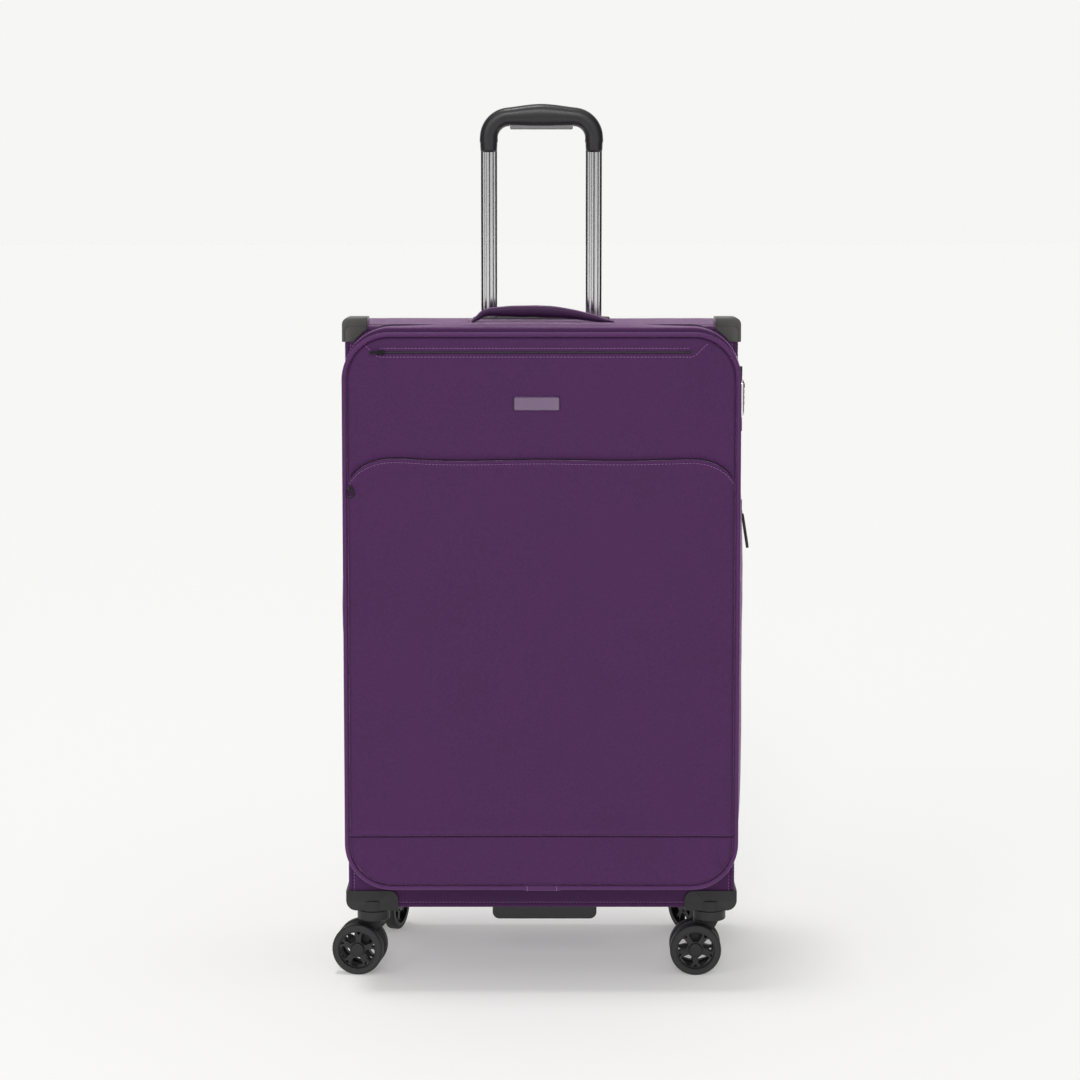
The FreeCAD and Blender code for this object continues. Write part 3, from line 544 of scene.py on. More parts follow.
def rear_rings():
    rings = []
    for turn in (15, 30, 45, 60, 75, 90):
        a = math.radians(turn)
        rings.append(at_depth(outline(BACK_ROUND * (1 - math.cos(a))),
                              BACK_Y - BACK_ROUND * (1 - math.sin(a)),
                              lambda x, y, z, nx, nz: side_lift(x, BACK_Y - BACK_ROUND, z, nx, nz)))
    edge = outline(BACK_ROUND)
    middle = ring(24 * MM, BODY_LOW.z + 0.24, BODY_HIGH.z - 0.24, 20 * MM, BODY_STEPS)
    shares = (0.015, 0.03, 0.045, 0.06, 0.08, 0.12, 0.18, 0.25, 0.33, 0.41, 0.5, 0.58, 0.66, 0.75, 0.83, 0.92,
              1.0)
    for share in shares:
        level = blend_rings(edge, middle, share)
        crown = 1.6 * MM * smoothstep(0.03, 0.5, share) - bump_at(share, 0.038, 0.008, 0.9 * MM)
        rings.append([(MIDDLE + x, BACK_Y + crown
                       + ripple(x, 1.0, z, 11.0, 0.7 * MM) * smoothstep(0.03, 0.2, share), z)
                      for x, z, *_ in level])
    return rings


def thicken(piece, depth):
    """Gives a cloth surface its thickness, inwards."""
    solid = piece.modifiers.new("thickness", "SOLIDIFY")
    solid.thickness, solid.offset = depth, -1.0
    return apply_modifiers(piece)


def add_body():
    points, faces = loft(front_rings() + side_rings() + rear_rings(), cap_last=True)
    body = thicken(make_object("body_cloth", points, faces, CASE), 2.2 * MM)
    low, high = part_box("handle_bezel")
    rim = Vector((4 * MM, 4 * MM, 0))
    well = ((low + rim).to_3d(), (high - rim).to_3d())
    well[0].z, well[1].z = BODY_HIGH.z - 8 * MM, BODY_HIGH.z + 8 * MM
    carve(body, *well)
    finish_piece(body, "case", "case_fabric", "body_shell")
    sewn = []
    face_row = at_depth(outline(SEAM_IN + 1.8 * MM), FRONT_Y - 0.5 * MM)
    sewn.append(stitches(face_row, (0, -1, 0), True))
    for y in (FRONT_Y + 7 * MM, EXPANSION_Y - 9.5 * MM, EXPANSION_Y + 9.5 * MM, BACK_Y - BACK_ROUND - 3 * MM):
        row = outline(0.0)
        placed = at_depth(row, y, side_lift)
        lookup = {tuple(p): (nx, 0.0, nz) for p, (x, z, nx, nz) in zip(placed, row)}
        sewn.append(stitches(placed, lambda p,
                             found=lookup: found[min(found, key=lambda q: (Vector(q) - p).length_squared)],
                             True))
    thread = make_object("body_stitching", *join_lists(sewn), THREAD)
    clear_out(thread, *well)
    finish_piece(thread, "case", "case_fabric")


def add_guards():
    """Moulded caps over the top front corners: a face plate that clears the lid, and an L-shaped wall."""
    reach, proud, high, round_out, round_in = 28.5 * MM, 3.5 * MM, 11.5 * MM, 9 * MM, 5 * MM
    clear = LID_CORNER + 0.6 * MM
    centre_x, centre_z = LID_HALF - LID_CORNER, LID_HIGH.z - LID_CORNER
    out_x, out_z = BODY_HALF + proud, BODY_HIGH.z + high
    in_x, foot = BODY_HALF - reach, BODY_HIGH.z - 19.5 * MM
    inset = 1.5 * MM
    turns = [(math.cos(math.radians(90 * n / 8)), math.sin(math.radians(90 * n / 8))) for n in range(9)]
    arc = [(out_x + round_out * (c - 1), out_z + round_out * (s - 1)) for c, s in turns]
    inner_arc = [(x - inset * c, z - inset * s) for (x, z), (c, s) in zip(arc, turns)]
    start = math.acos((in_x - centre_x) / clear)
    end = math.asin((foot - centre_z) / clear)
    edge = [(centre_x + clear * math.cos(a), centre_z + clear * math.sin(a))
            for a in (start + (end - start) * n / 12 for n in range(13))]
    face = [(out_x - inset, foot)] + inner_arc + [(in_x, out_z - inset)] + edge
    wall_x, wall_z = BODY_HALF - 1 * MM, BODY_HIGH.z - 0.5 * MM
    hollow = [(wall_x - round_in + round_in * math.cos(a), wall_z - round_in + round_in * math.sin(a))
              for a in (math.radians(90 - 90 * n / 5) for n in range(6))]
    wall = [(out_x, foot)] + arc + [(in_x, out_z), (in_x, wall_z)] + hollow + [(wall_x, foot)]
    for name, side in (("left", -1), ("right", 1)):
        made = []
        for outline_points, front, depth in ((face, 3.0 * MM, 2.8 * MM), (wall, 3.4 * MM, 47.4 * MM)):
            y_low, y_high = FRONT_Y - front, FRONT_Y - front + depth
            made.append(extruded([(MIDDLE + side * x, z) for x, z in outline_points], y_low, y_high))
        # The caps take the paler grey whose brightness is a painted highlight.
        cap = make_object("corner_cap_" + name, *join_lists(made), GUARD_PAINTED_HIGHLIGHT)
        rounding = cap.modifiers.new("rounding", "BEVEL")
        rounding.width, rounding.segments, rounding.limit_method = 2.2 * MM, 3, "ANGLE"
        rounding.angle_limit = math.radians(50)
        apply_modifiers(cap)
        finish_piece(cap, "case", "black_plastic", "corner_guard_" + name)


def rectangle_band(outer, inner, y_low, y_high):
    """A closed flat band between two outlines."""
    return closed_loft([at_depth(outer, y_low), at_depth(outer, y_high), at_depth(inner, y_high),
                        at_depth(inner, y_low)])


def add_main_zip():
    """Two halves of the main zip: tape with the coil along its outer edge."""
    halves = (("zip_body_half", "main_zip_body", "case", 1), ("zip_lid_half", "main_zip_lid", "lid", -1))
    for name, node, body, inward in halves:
        low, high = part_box(node)
        middle = (low.y + high.y) / 2
        tape = rectangle_band(lid_outline(1.6 * MM), lid_outline(7 * MM), middle - 0.4 * MM,
                              middle + 0.4 * MM)
        add_piece(name + "_tape", tape, TAPE, body, "zip_tape", node)
        path = at_depth(lid_outline(2.6 * MM), middle)
        centre = Vector((MIDDLE, middle, (LID_LOW.z + LID_HIGH.z) / 2))

        def outward(p):
            reach = p - centre
            side = abs(reach.x) / LID_HALF > abs(reach.z) / ((LID_HIGH.z - LID_LOW.z) / 2) * 0.985
            return Vector((math.copysign(1, reach.x), 0,
                           0)) if side else Vector((0, 0, math.copysign(1, reach.z)))

        teeth = zip_teeth(path, outward, (0, -0.9 * inward, 0), reach=1.0 * MM, thick=1.3 * MM)
        coil = make_object(name + "_coil", *teeth, COIL, smooth=False)
        finish_piece(coil, body, "zip_tape")


add_body()
add_main_zip()
add_guards()


# Lid: gusset, lining and the two pockets on its face

LID_REAR, LID_FACE = LID_HIGH.y, LID_LOW.y
LID_STEPS = (64, 90, 26)


def gusset_inset(share):
    """How far the gusset lies inside the lid's outline at a share of its depth from zip to piping."""
    return 3.2 * MM * smoothstep(0.55, 1.0, share)


def corner_fall(x, nz):
    """The lid's top edge is highest in the middle and falls towards its corners."""
    return -4.5 * MM * max(nz, 0.0) * smoothstep(60 * MM, 200 * MM, abs(x))


def gusset_lift(share):
    """Bulge of the gusset between its two seams, more on the sides than on top."""
    bow = math.sin(math.pi * min(max(share, 0.0), 1.0)) ** 0.8 if 0 < share < 1 else 0.0

    def lift(x, y, z, nx, nz):
        level = smoothstep(0.14, 0.30, z) * (1 - smoothstep(0.54, 0.70, z))
        rise = (4.6 * abs(nx) * level + 1.2 * max(nz, 0.0) + 1.0 * max(-nz, 0.0)) * MM
        soft = ripple(x, y, z, 10.0, 0.7 * MM) + ripple(x, y, z, 34.0, 0.35 * MM)
        hinge_side = max(-nx, 0.0)
        bulge = bow * ((rise + soft) * (1 - hinge_side) - 0.6 * MM * hinge_side)
        return bulge + corner_fall(x, nz) * (1 - smoothstep(0.55, 0.95, share))
    return lift


def add_gusset():
    depth = LID_REAR - LID_FACE
    hem_rings = ((7 * MM, 1.6 * MM), (2.2 * MM, 0.0), (0.6 * MM, 0.5 * MM))
    rings = [at_depth(lid_outline(inset, LID_STEPS), LID_REAR - back, lambda x, y, z, nx,
                      nz: corner_fall(x, nz))
             for inset, back in hem_rings]
    shares = [0.025, 0.05, 0.075, 0.1] + [0.14 + 0.0452 * n for n in range(18)] + [0.94, 0.96, 0.98, 1.0]
    for share in shares:
        y = LID_REAR - depth * share
        hem = bump_at(share, 0.075, 0.016, 0.8 * MM) - bump_at(share, 0.115, 0.010, 0.5 * MM)
        hem += bump_at(share, 0.925, 0.016, 0.6 * MM) - bump_at(share, 0.965, 0.012, 0.8 * MM)
        lift = gusset_lift(share)
        rings.append(at_depth(lid_outline(gusset_inset(share), LID_STEPS), y,
                              lambda x, yy, z, nx, nz, up=lift,
                              h=hem: up(x, yy, z, nx, nz) + h * (1 - max(-nx, 0.0))))
    edge = lid_outline(gusset_inset(1.0) + 1.0 * MM, LID_STEPS)
    rings.append(at_depth(edge, LID_FACE))
    centre = ring(30 * MM, LID_LOW.z + 0.2, LID_HIGH.z - 0.2, 20 * MM, LID_STEPS)
    for share in (0.05, 0.2, 0.6, 1.0):
        rings.append(at_depth(blend_rings(edge, centre, share), LID_FACE))
    points, faces = loft(rings, cap_last=True)
    gusset = thicken(make_object("lid_gusset", points, faces, CASE), 1.6 * MM)
    finish_piece(gusset, "lid", "case_fabric", "lid_shell")
    sewn = []
    for share in (0.135, 0.895):
        row = lid_outline(gusset_inset(share), LID_STEPS)
        placed = at_depth(row, LID_REAR - depth * share, gusset_lift(share))
        centre_point = Vector((MIDDLE, 0, (LID_LOW.z + LID_HIGH.z) / 2))
        sewn.append(stitches(placed, side_facing(centre_point), True))
    add_piece("lid_stitching", join_lists(sewn), THREAD, "lid", "case_fabric")


def side_facing(centre):
    """The outward direction of a rounded rectangle's rim, seen from its middle."""
    def facing(point):
        x = max(abs(point.x - centre.x) - (LID_HALF - LID_CORNER), 0.0)
        z = max(abs(point.z - centre.z) - ((LID_HIGH.z - LID_LOW.z) / 2 - LID_CORNER), 0.0)
        if x == 0.0 and z == 0.0:
            x = 1.0
        return Vector((math.copysign(x, point.x - centre.x), 0,
                       math.copysign(z, point.z - centre.z))).normalized()
    return facing


def add_linings():
    """Thin lining cloth inside the body and the lid, loose enough to wave a little."""
    low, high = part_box("body_lining")
    half, radius = (high.x - low.x) / 2, 9 * MM
    steps = (60, 90, 5)
    rings = []
    for n in range(41):
        y = low.y + (high.y - low.y) * n / 40
        rings.append(at_depth(ring(half, low.z, high.z, radius, steps), y,
                              lambda x, yy, z, nx, nz: -abs(ripple(x, yy, z, 14.0, 2.2 * MM)) - 0.2 * MM))
    centre = ring(20 * MM, low.z + 0.24, high.z - 0.24, 15 * MM, steps)
    for n in range(1, 41):
        level = blend_rings(ring(half, low.z, high.z, radius, steps), centre, n / 40)
        rings.append([(MIDDLE + x, high.y - 0.2 * MM - abs(ripple(x, 3.0, z, 12.0, 1.2 * MM)), z) for x, z,
                      *_ in level])
    points, faces = loft(rings, cap_last=True)
    lining = thicken(make_object("body_inner_lining", points, faces, LINING), -0.7 * MM)
    finish_piece(lining, "case", "lining_fabric", "body_lining")

    face = LID_FACE + 2.6 * MM
    rings = []
    for n in range(16):
        y = LID_REAR - 1 * MM - (LID_REAR - 1 * MM - face) * n / 15
        rings.append(at_depth(lid_outline(5.5 * MM, LID_STEPS), y,
                              lambda x, yy, z, nx, nz: -abs(ripple(x, yy, z, 16.0, 2.0 * MM))))
    centre = ring(30 * MM, LID_LOW.z + 0.22, LID_HIGH.z - 0.22, 20 * MM, LID_STEPS)
    for n in range(1, 31):
        level = blend_rings(lid_outline(5.5 * MM, LID_STEPS), centre, n / 30)
        rings.append([(MIDDLE + x, face + abs(ripple(x, 5.0, z, 13.0, 1.4 * MM)), z) for x, z, *_ in level])
    points, faces = loft(rings, cap_last=True)
    lining = thicken(make_object("lid_inner_lining", points, faces, LINING), 0.7 * MM)
    finish_piece(lining, "lid", "lining_fabric")


def panel_half(z):
    """Half width of the front panel's outline at a height."""
    rise = max(POCKET_LOW.z + PANEL_CORNER - z, z - (PANEL_HIGH.z - PANEL_CORNER), 0.0)
    rise = min(rise, PANEL_CORNER)
    return PANEL_HALF - PANEL_CORNER + math.sqrt(max(PANEL_CORNER * PANEL_CORNER - rise * rise, 0.0))


def panel_edge_distance(x, z):
    """Distance inside the panel's rounded outline."""
    centre = (POCKET_LOW.z + PANEL_HIGH.z) / 2
    qx = abs(x) - (PANEL_HALF - PANEL_CORNER)
    qz = abs(z - centre) - ((PANEL_HIGH.z - POCKET_LOW.z) / 2 - PANEL_CORNER)
    outside = math.hypot(max(qx, 0.0), max(qz, 0.0)) + min(max(qx, qz), 0.0)
    return PANEL_CORNER - outside


def roll(distance, width):
    """Profile of a rolled edge: 0 on the outline, 1 from a width inside it."""
    t = min(max(distance / width, 0.0), 1.0)
    return math.sqrt(1 - (1 - t) ** 2)


def spaced(low, high, step, fine, dense):
    """Values from low to high, closer together near the given ones."""
    values, v = [low], low
    while v < high - 1e-6:
        near = min((abs(v - d) for d in dense), default=1.0)
        v += fine if near < 7 * MM else step
        values.append(min(v, high))
    return values


def pad_mesh(rows, columns, place, back):
    """A closed pad: a relief front grid from place(u, z) and a flat back."""
    points = [place(u, z) for z in rows for u in columns]
    rim = grid_rim(len(rows), len(columns))
    base, count = len(points), len(rim)
    points += [(points[v][0], back, points[v][2]) for v in rim]
    faces = grid_faces(len(rows), len(columns))
    faces += [(rim[k], base + k, base + (k + 1) % count, rim[(k + 1) % count]) for k in range(count)]
    return points, faces + [tuple(range(base, base + count))]


def pocket_drop(x):
    """How far the lower pocket's top edge falls from its middle: flat, then a round shoulder each side."""
    across = abs(x) / PANEL_HALF
    shoulder = max(abs(x) - (PANEL_HALF - 52 * MM), 0.0) / (52 * MM)
    fall = 38 * MM * (1 - math.sqrt(max(1 - min(shoulder, 1.0) ** 2, 0.0)))
    droop = 2.6 * MM * math.sin(math.pi * min(across / 0.78, 1.0)) ** 2
    return fall - (1.6 * MM if x < 0
                   else 0.4 * MM) * math.exp(-((abs(x) - 178 * MM) / (26 * MM)) ** 2) + droop * 0.5


def upper_height(x, z):
    """How far the upper pocket's face stands off the lid."""
    d = panel_edge_distance(x, z)
    height = 4.4 * MM * roll(d, 5 * MM)
    height += 1.1 * MM * smoothstep(10 * MM, 70 * MM, d) * smoothstep(PANEL_LOW.z, 0.74, z)
    height += (ripple(x, 2.0, z, 11.0, 0.7 * MM) * smoothstep(0, 25 * MM, d)
               + ripple(x, 2.0, z, 37.0, 0.3 * MM))
    inside = smoothstep(-199 * MM, -193 * MM, x) * (1 - smoothstep(178 * MM, 184 * MM, x))
    height -= bump_at(z, POCKET_ZIP_Z, 1.7 * MM, 1.9 * MM) * inside
    height += (bump_at(z, POCKET_ZIP_Z - 3.4 * MM, 1.5 * MM, 0.6 * MM)
               + bump_at(z, POCKET_ZIP_Z + 2.6 * MM, 1.4 * MM, 1.3 * MM)) * inside
    above = z - pocket_top(x)
    height -= 2.6 * MM * (1 - smoothstep(0.0, 9 * MM, above)) * smoothstep(0, 12 * MM, d)
    return max(height, 0.15 * MM)


def band_seam(x):
    """Height of the seam above the lower pocket's bottom band."""
    return BAND_SEAM_Z + 1.2 * MM * math.cos(x / PANEL_HALF * math.pi / 2)


def lower_height(x, z):
    """How far the lower pocket's face stands off the lid."""
    d = panel_edge_distance(x, z)
    top = pocket_top(x) - z
    height = 7.0 * MM * roll(d, 6 * MM)
    height += 2.2 * MM * smoothstep(12 * MM, 110 * MM, d) * smoothstep(0.0, 0.12, top)
    height *= 0.78 + 0.22 * roll(top, 4 * MM)
    height += (ripple(x, 7.0, z, 8.0, 1.1 * MM) * smoothstep(0, 40 * MM, d)
               + ripple(x, 7.0, z, 30.0, 0.35 * MM))
    height -= bump_at(top, 4.6 * MM, 0.9 * MM, 0.8 * MM)
    height += bump_at(top, 9.5 * MM, 3.0 * MM, 0.5 * MM)
    for centre, lean, size in ((0.130, 0.25, 0.9), (0.154, -0.3, 0.8), (-0.160, 0.2, 0.5), (0.02, 0.1, 0.35)):
        across = x - centre - lean * top
        height -= bump_at(across, 0.0, 3.2 * MM,
                          size * MM) * (1 - smoothstep(0.012, 0.045, top)) * smoothstep(0.004, 0.012, top)
    seam = band_seam(x)
    height -= bump_at(z, seam, 0.9 * MM, 2.6 * MM)
    height += bump_at(z, seam + 3.6 * MM, 3.0 * MM,
                      1.5 * MM) - 0.5 * MM * (1 - smoothstep(0.0, 14 * MM, seam - z)) * (z < seam)
    along = (abs(x) - 0.214) / 0.022
    if -0.1 < along < 1.1:
        line = 0.180 - 0.030 * along
        height -= bump_at(z, line, 2.6 * MM, 1.7 * MM) * smoothstep(-0.1, 0.5, along)
        height += bump_at(z, line - 5 * MM, 3.5 * MM, 1.1 * MM) * smoothstep(-0.1, 0.6, along)
    return max(height, 0.15 * MM)


BAND_SEAM_Z = POCKET_LOW.z + 62.5 * MM


def pocket_top(x):
    return POCKET_HIGH.z + 0.9 * MM - pocket_drop(x)


def add_panels():
    ends = (-PANEL_HALF, PANEL_HALF)
    columns = [x / PANEL_HALF for x in spaced(*ends, 3.4 * MM, 0.7 * MM, ends)]
    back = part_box("upper_pocket")[1].y

    def upper_place(u, z):
        x = u * panel_half(z)
        return (MIDDLE + x, back - upper_height(x, z), z)

    rows = spaced(PANEL_LOW.z, PANEL_HIGH.z, 3.4 * MM, 0.6 * MM,
                  (POCKET_ZIP_Z - 3 * MM, POCKET_ZIP_Z + 5 * MM, PANEL_HIGH.z))
    upper = make_object("front_upper_panel", *pad_mesh(rows, columns, upper_place, back), CASE)
    finish_piece(upper, "lid", "case_fabric", "upper_pocket")

    def lower_place(u, level):
        x = u * panel_half(level)
        z = level - pocket_drop(x) * smoothstep(POCKET_HIGH.z - 0.11, POCKET_HIGH.z, level)
        return (MIDDLE + x, back - lower_height(x, z), z)

    top = POCKET_HIGH.z + 0.9 * MM
    rows = spaced(POCKET_LOW.z, top, 3.4 * MM, 0.6 * MM,
                  (POCKET_LOW.z, BAND_SEAM_Z, BAND_SEAM_Z + 4 * MM, top - 3 * MM))
    lower = make_object("front_lower_pocket", *pad_mesh(rows, columns, lower_place, back), CASE)
    finish_piece(lower, "lid", "case_fabric", "lower_pocket")
    return back


def on_upper(x, z, out=0.0):
    return (MIDDLE + x, PANEL_BACK - upper_height(x, z) - out, z)


def on_lower(x, z, out=0.0):
    return (MIDDLE + x, PANEL_BACK - lower_height(x, z) - out, z)


def panel_columns(low, high, step=2 * MM):
    count = max(int((high - low) / step), 1)
    return [low + (high - low) * n / count for n in range(count + 1)]


ZIP_LEFT, ZIP_RIGHT = -0.199, 0.184


def add_panel_stitching():
    """Thread under and over the pocket's zip and along the lower pocket's top edge."""
    middle, reach = (ZIP_LEFT + ZIP_RIGHT) / 2, (ZIP_RIGHT - ZIP_LEFT) / 2
    under = []
    for x in panel_columns(-0.222, 0.208):
        beyond = max(abs(x - middle) - reach, 0.0)
        under.append(on_upper(x, POCKET_ZIP_Z - 5.8 * MM + 0.018 * smoothstep(0, 0.026, beyond), 0.1 * MM))
    over = [on_upper(x, POCKET_ZIP_Z + 5.0 * MM, 0.1 * MM) for x in panel_columns(ZIP_LEFT, ZIP_RIGHT)]
    across = panel_columns(-PANEL_HALF + 3 * MM, PANEL_HALF - 3 * MM)
    edge = [on_lower(x, pocket_top(x) - 4.6 * MM, 0.25 * MM) for x in across]
    sewn = [stitches(row, (0, -1, 0)) for row in (under, over, edge)]
    add_piece("panel_stitching", join_lists(sewn), THREAD, "lid", "case_fabric")


def add_panel_details():
    """Near-black cords along the band seam and under the lower pocket's top edge that stand in for the shade
    in those gaps (painted shade), the pocket zip's core and coil, and the rim of the plate.
    """

    half = panel_half(BAND_SEAM_Z) - 1 * MM
    seams = [[on_lower(x, band_seam(x)) for x in panel_columns(-half, half)],
             [on_upper(x, pocket_top(x) + 0.9 * MM)
              for x in panel_columns(-PANEL_HALF + 5 * MM, PANEL_HALF - 5 * MM)]]
    # Painted shade: near-black cords along these two lines.
    shade_cords = [tube([Vector(p) for p in row], 0.75 * MM, 8, closed=False) for row in seams]
    add_piece("panel_seam_painted_shade", join_lists(shade_cords), PAINTED_SHADE_CORD, "lid", "case_fabric")
    row = [Vector(on_upper(x, POCKET_ZIP_Z)) for x in panel_columns(ZIP_LEFT, ZIP_RIGHT)]
    add_piece("pocket_zip_core", tube(row, 1.6 * MM, 10, closed=False), COIL, "lid", "zip_tape")

    low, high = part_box("name_plate")
    across, face = (low.x + high.x) / 2, low.y + 0.3 * MM
    edge = ring((high.x - low.x) / 2 - 0.5 * MM, low.z + 0.5 * MM, high.z - 0.5 * MM, 2 * MM, (8, 4, 6))
    rim = tube([(across + x, face, z) for x, z, *_ in edge], 0.7 * MM, 8)
    add_piece("plate_rim", rim, RIM, "lid", "plate_metal")

    made = []
    for n in range(int((ZIP_RIGHT - ZIP_LEFT) / (1.5 * MM))):
        x = ZIP_LEFT + n * 1.5 * MM
        y = PANEL_BACK - upper_height(x, POCKET_ZIP_Z)
        rings = []
        for t, rise in ((-0.62, 0.1), (-0.45, 0.62), (0.0, 1.0), (0.45, 0.62), (0.62, 0.1)):
            rings.append([(MIDDLE + x + 0.5 * MM * c, y - rise * 0.9 * MM + 0.25 * MM * abs(c),
                           POCKET_ZIP_Z + t * 1.9 * MM)
                          for c in (-1, -0.4, 0.4, 1)])
        made.append(loft(rings, True, True))
    add_piece("pocket_zip_coil", join_lists(made), COIL, "lid", "zip_tape")


def add_piping():
    low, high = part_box("lid_piping")
    radius = (high.y - low.y) / 2
    half = (high.x - low.x) / 2 - radius
    y = (low.y + high.y) / 2
    path = ring(half, low.z + radius, high.z - radius, LID_CORNER - 3.7 * MM, (90, 130, 24))
    route = [(MIDDLE + x, y + ripple(x, 9.0, z, 30.0, 0.25 * MM), z) for x, z, *_ in path]
    add_piece("lid_edge_piping", tube(route, radius, 14), PIPING, "lid", "case_fabric", "lid_piping")
    sleeve = [(MIDDLE + x * MM, y, low.z + radius) for x in range(-23, 25)]
    shape = tube(sleeve, lambda t: radius + (0.25 + 0.55 * min(1.0, 8 * t, 8 * (1 - t))) * MM, 16,
                 closed=False)
    add_piece("piping_join_sleeve", shape, PIPING, "lid", "case_fabric")
    threads = []
    for x in (MIDDLE - 18 * MM, MIDDLE + 19 * MM):
        for k in range(9):
            a = math.radians(140 + 200 * k / 8)
            out = Vector((0, math.cos(a), math.sin(a)))
            spot = Vector((x, y, low.z + radius)) + out * (radius + 0.7 * MM)
            along = Vector((0, -math.sin(a), math.cos(a))) * 3.1 * MM
            threads.append(stitches([spot, spot + along], out, long=2.2 * MM))
    add_piece("sleeve_stitching", join_lists(threads), THREAD, "lid", "case_fabric")


def add_hinge_strip():
    """Cloth hinge down the left side."""
    start, end = FRONT_Y + 8 * MM, LID_REAR - 8 * MM
    depths = [start + (end - start) * n / 20 for n in range(21)]
    heights = [0.215 + (0.750 - 0.215) * n / 110 for n in range(111)]
    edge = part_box("body_shell")[0].x

    def line(t):
        hem = smoothstep(0.9, 1.0, t) + 1 - smoothstep(0.0, 0.1, t)
        return edge - 0.7 * MM - 0.5 * MM * math.sin(math.pi * t) + 0.9 * MM * hem

    points = [(line(n / 20) + ripple(0, y, z, 40.0, 0.2 * MM), y, z) for z in heights for n,
              y in enumerate(depths)]
    faces = grid_faces(len(heights), len(depths))
    strip = thicken(make_object("lid_hinge_strip", points, faces, CASE), 0.8 * MM)
    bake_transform(strip)


add_gusset()
add_linings()
PANEL_BACK = add_panels()
add_panel_stitching()
add_panel_details()
add_piping()
add_hinge_strip()


# Handles

def smooth_path(stations, count):
    """Catmull-Rom interpolation of tuples of numbers, evenly in index."""
    out = []
    last = len(stations) - 1
    for n in range(count + 1):
        t = n / count * last
        k = min(int(t), last - 1)
        f = t - k
        rows = [stations[max(k - 1, 0)], stations[k], stations[k + 1], stations[min(k + 2, last)]]
        out.append(tuple(0.5 * (2 * b + (c - a) * f + (2 * a - 5 * b + 4 * c - d) * f * f
                                + (3 * b - a - 3 * c + d) * f ** 3)
                         for a, b, c, d in zip(*rows)))
    return out


def sweep(stations, plane_normal, sides=28, power=2.6):
    """A bar through (x, y, z, half thickness, half width) stations; the width lies along plane_normal."""
    wide = Vector(plane_normal)
    rings = []
    for n, (x, y, z, thick, width) in enumerate(stations):
        before, after = stations[max(n - 1, 0)], stations[min(n + 1, len(stations) - 1)]
        along = (Vector(after[:3]) - Vector(before[:3])).normalized()
        up = along.cross(wide).normalized()
        ring_here = []
        for k in range(sides):
            a = math.tau * k / sides
            c, s = math.cos(a), math.sin(a)
            ring_here.append(Vector((x, y, z)) + wide * width * math.copysign(abs(c) ** (2 / power), c)
                             + up * thick * math.copysign(abs(s) ** (2 / power), s))
        rings.append(ring_here)
    return rings


def ruffle(rings, scale, size):
    """Uneven cloth on a swept bar."""
    middle = [sum(r, Vector()) / len(r) for r in rings]
    return [[p + (p - m).normalized() * ripple(*p, scale, size) for p in r] for r, m in zip(rings, middle)]


def groove(rings, sides, columns, depth):
    """Pulls chosen columns of a sweep inwards, for a sewn seam."""
    for r in rings:
        centre = sum(r, Vector()) / len(r)
        for k in columns:
            r[k % sides] = r[k % sides] + (centre - r[k % sides]).normalized() * depth
    return rings


def carry_handle(name, stations, node):
    """A padded strap swept through its stations, with sewn grooves along it."""
    sides = 36
    rings = ruffle(sweep(smooth_path(stations, 150), (0, 1, 0), sides, 2.5), 45.0, 0.5 * MM)
    groove(rings, sides, (4, 14, 22, 32), 0.5 * MM)
    handle = add_piece(name, loft(rings, True, True), HANDLE_CLOTH, "case", "case_fabric", node)
    return rings


def add_top_handle():
    low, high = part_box("top_handle")
    y, base = (low.y + high.y) / 2, BODY_HIGH.z
    half = (high.y - low.y) / 2
    shape = [(-82, 1.6, 1.5, 16.5), (-79, 3.0, 2.4, 16.5), (-73, 7.0, 3.6, 16), (-66, 12.0, 4.6, 14.5),
             (-56, 14.0, 5.6, 13.5),
             (-44, 14.2, 6.4, 13), (-28, 14.5, 7.4, 13), (-8, 14.6, 7.9, 13), (12, 14.2, 7.8, 13),
             (34, 12.8, 7.2, 13),
             (54, 10.2, 6.2, 13), (72, 6.8, 4.9, 13.5), (86, 4.0, 3.4, 14.5), (96, 2.4, 2.2, 15.5),
             (103, 1.4, 1.2, 16.5)]
    start = low.x + 82.8 * MM
    stations = [(start + x * MM, y, base + z * MM, t * MM, w * half / 16.5) for x, z, t, w in shape]
    rings = carry_handle("top_carry_handle", stations, "top_handle")
    sewn = []
    for k in (5, 13):
        row = [r[k] + Vector((0, 0, 0.15 * MM)) for r in rings[8:142]]
        sewn.append(stitches(row, (0, 0, 1)))
    for x, sign in ((-79, 1), (97, -1)):
        corners = [(x - 6, -0.8), (x + 6, -0.8), (x + 6, 0.8), (x - 6, 0.8)]
        row = [Vector((start + a * MM, y + b * half * 0.8,
                       base + (1.9 + (3.4 if (a - x) * sign > 0 else 0.9)) * MM)) for a, b in corners]
        sewn.append(stitches(row, (0, 0, 1), True))
    add_piece("top_handle_stitching", join_lists(sewn), THREAD, "case", "case_fabric")


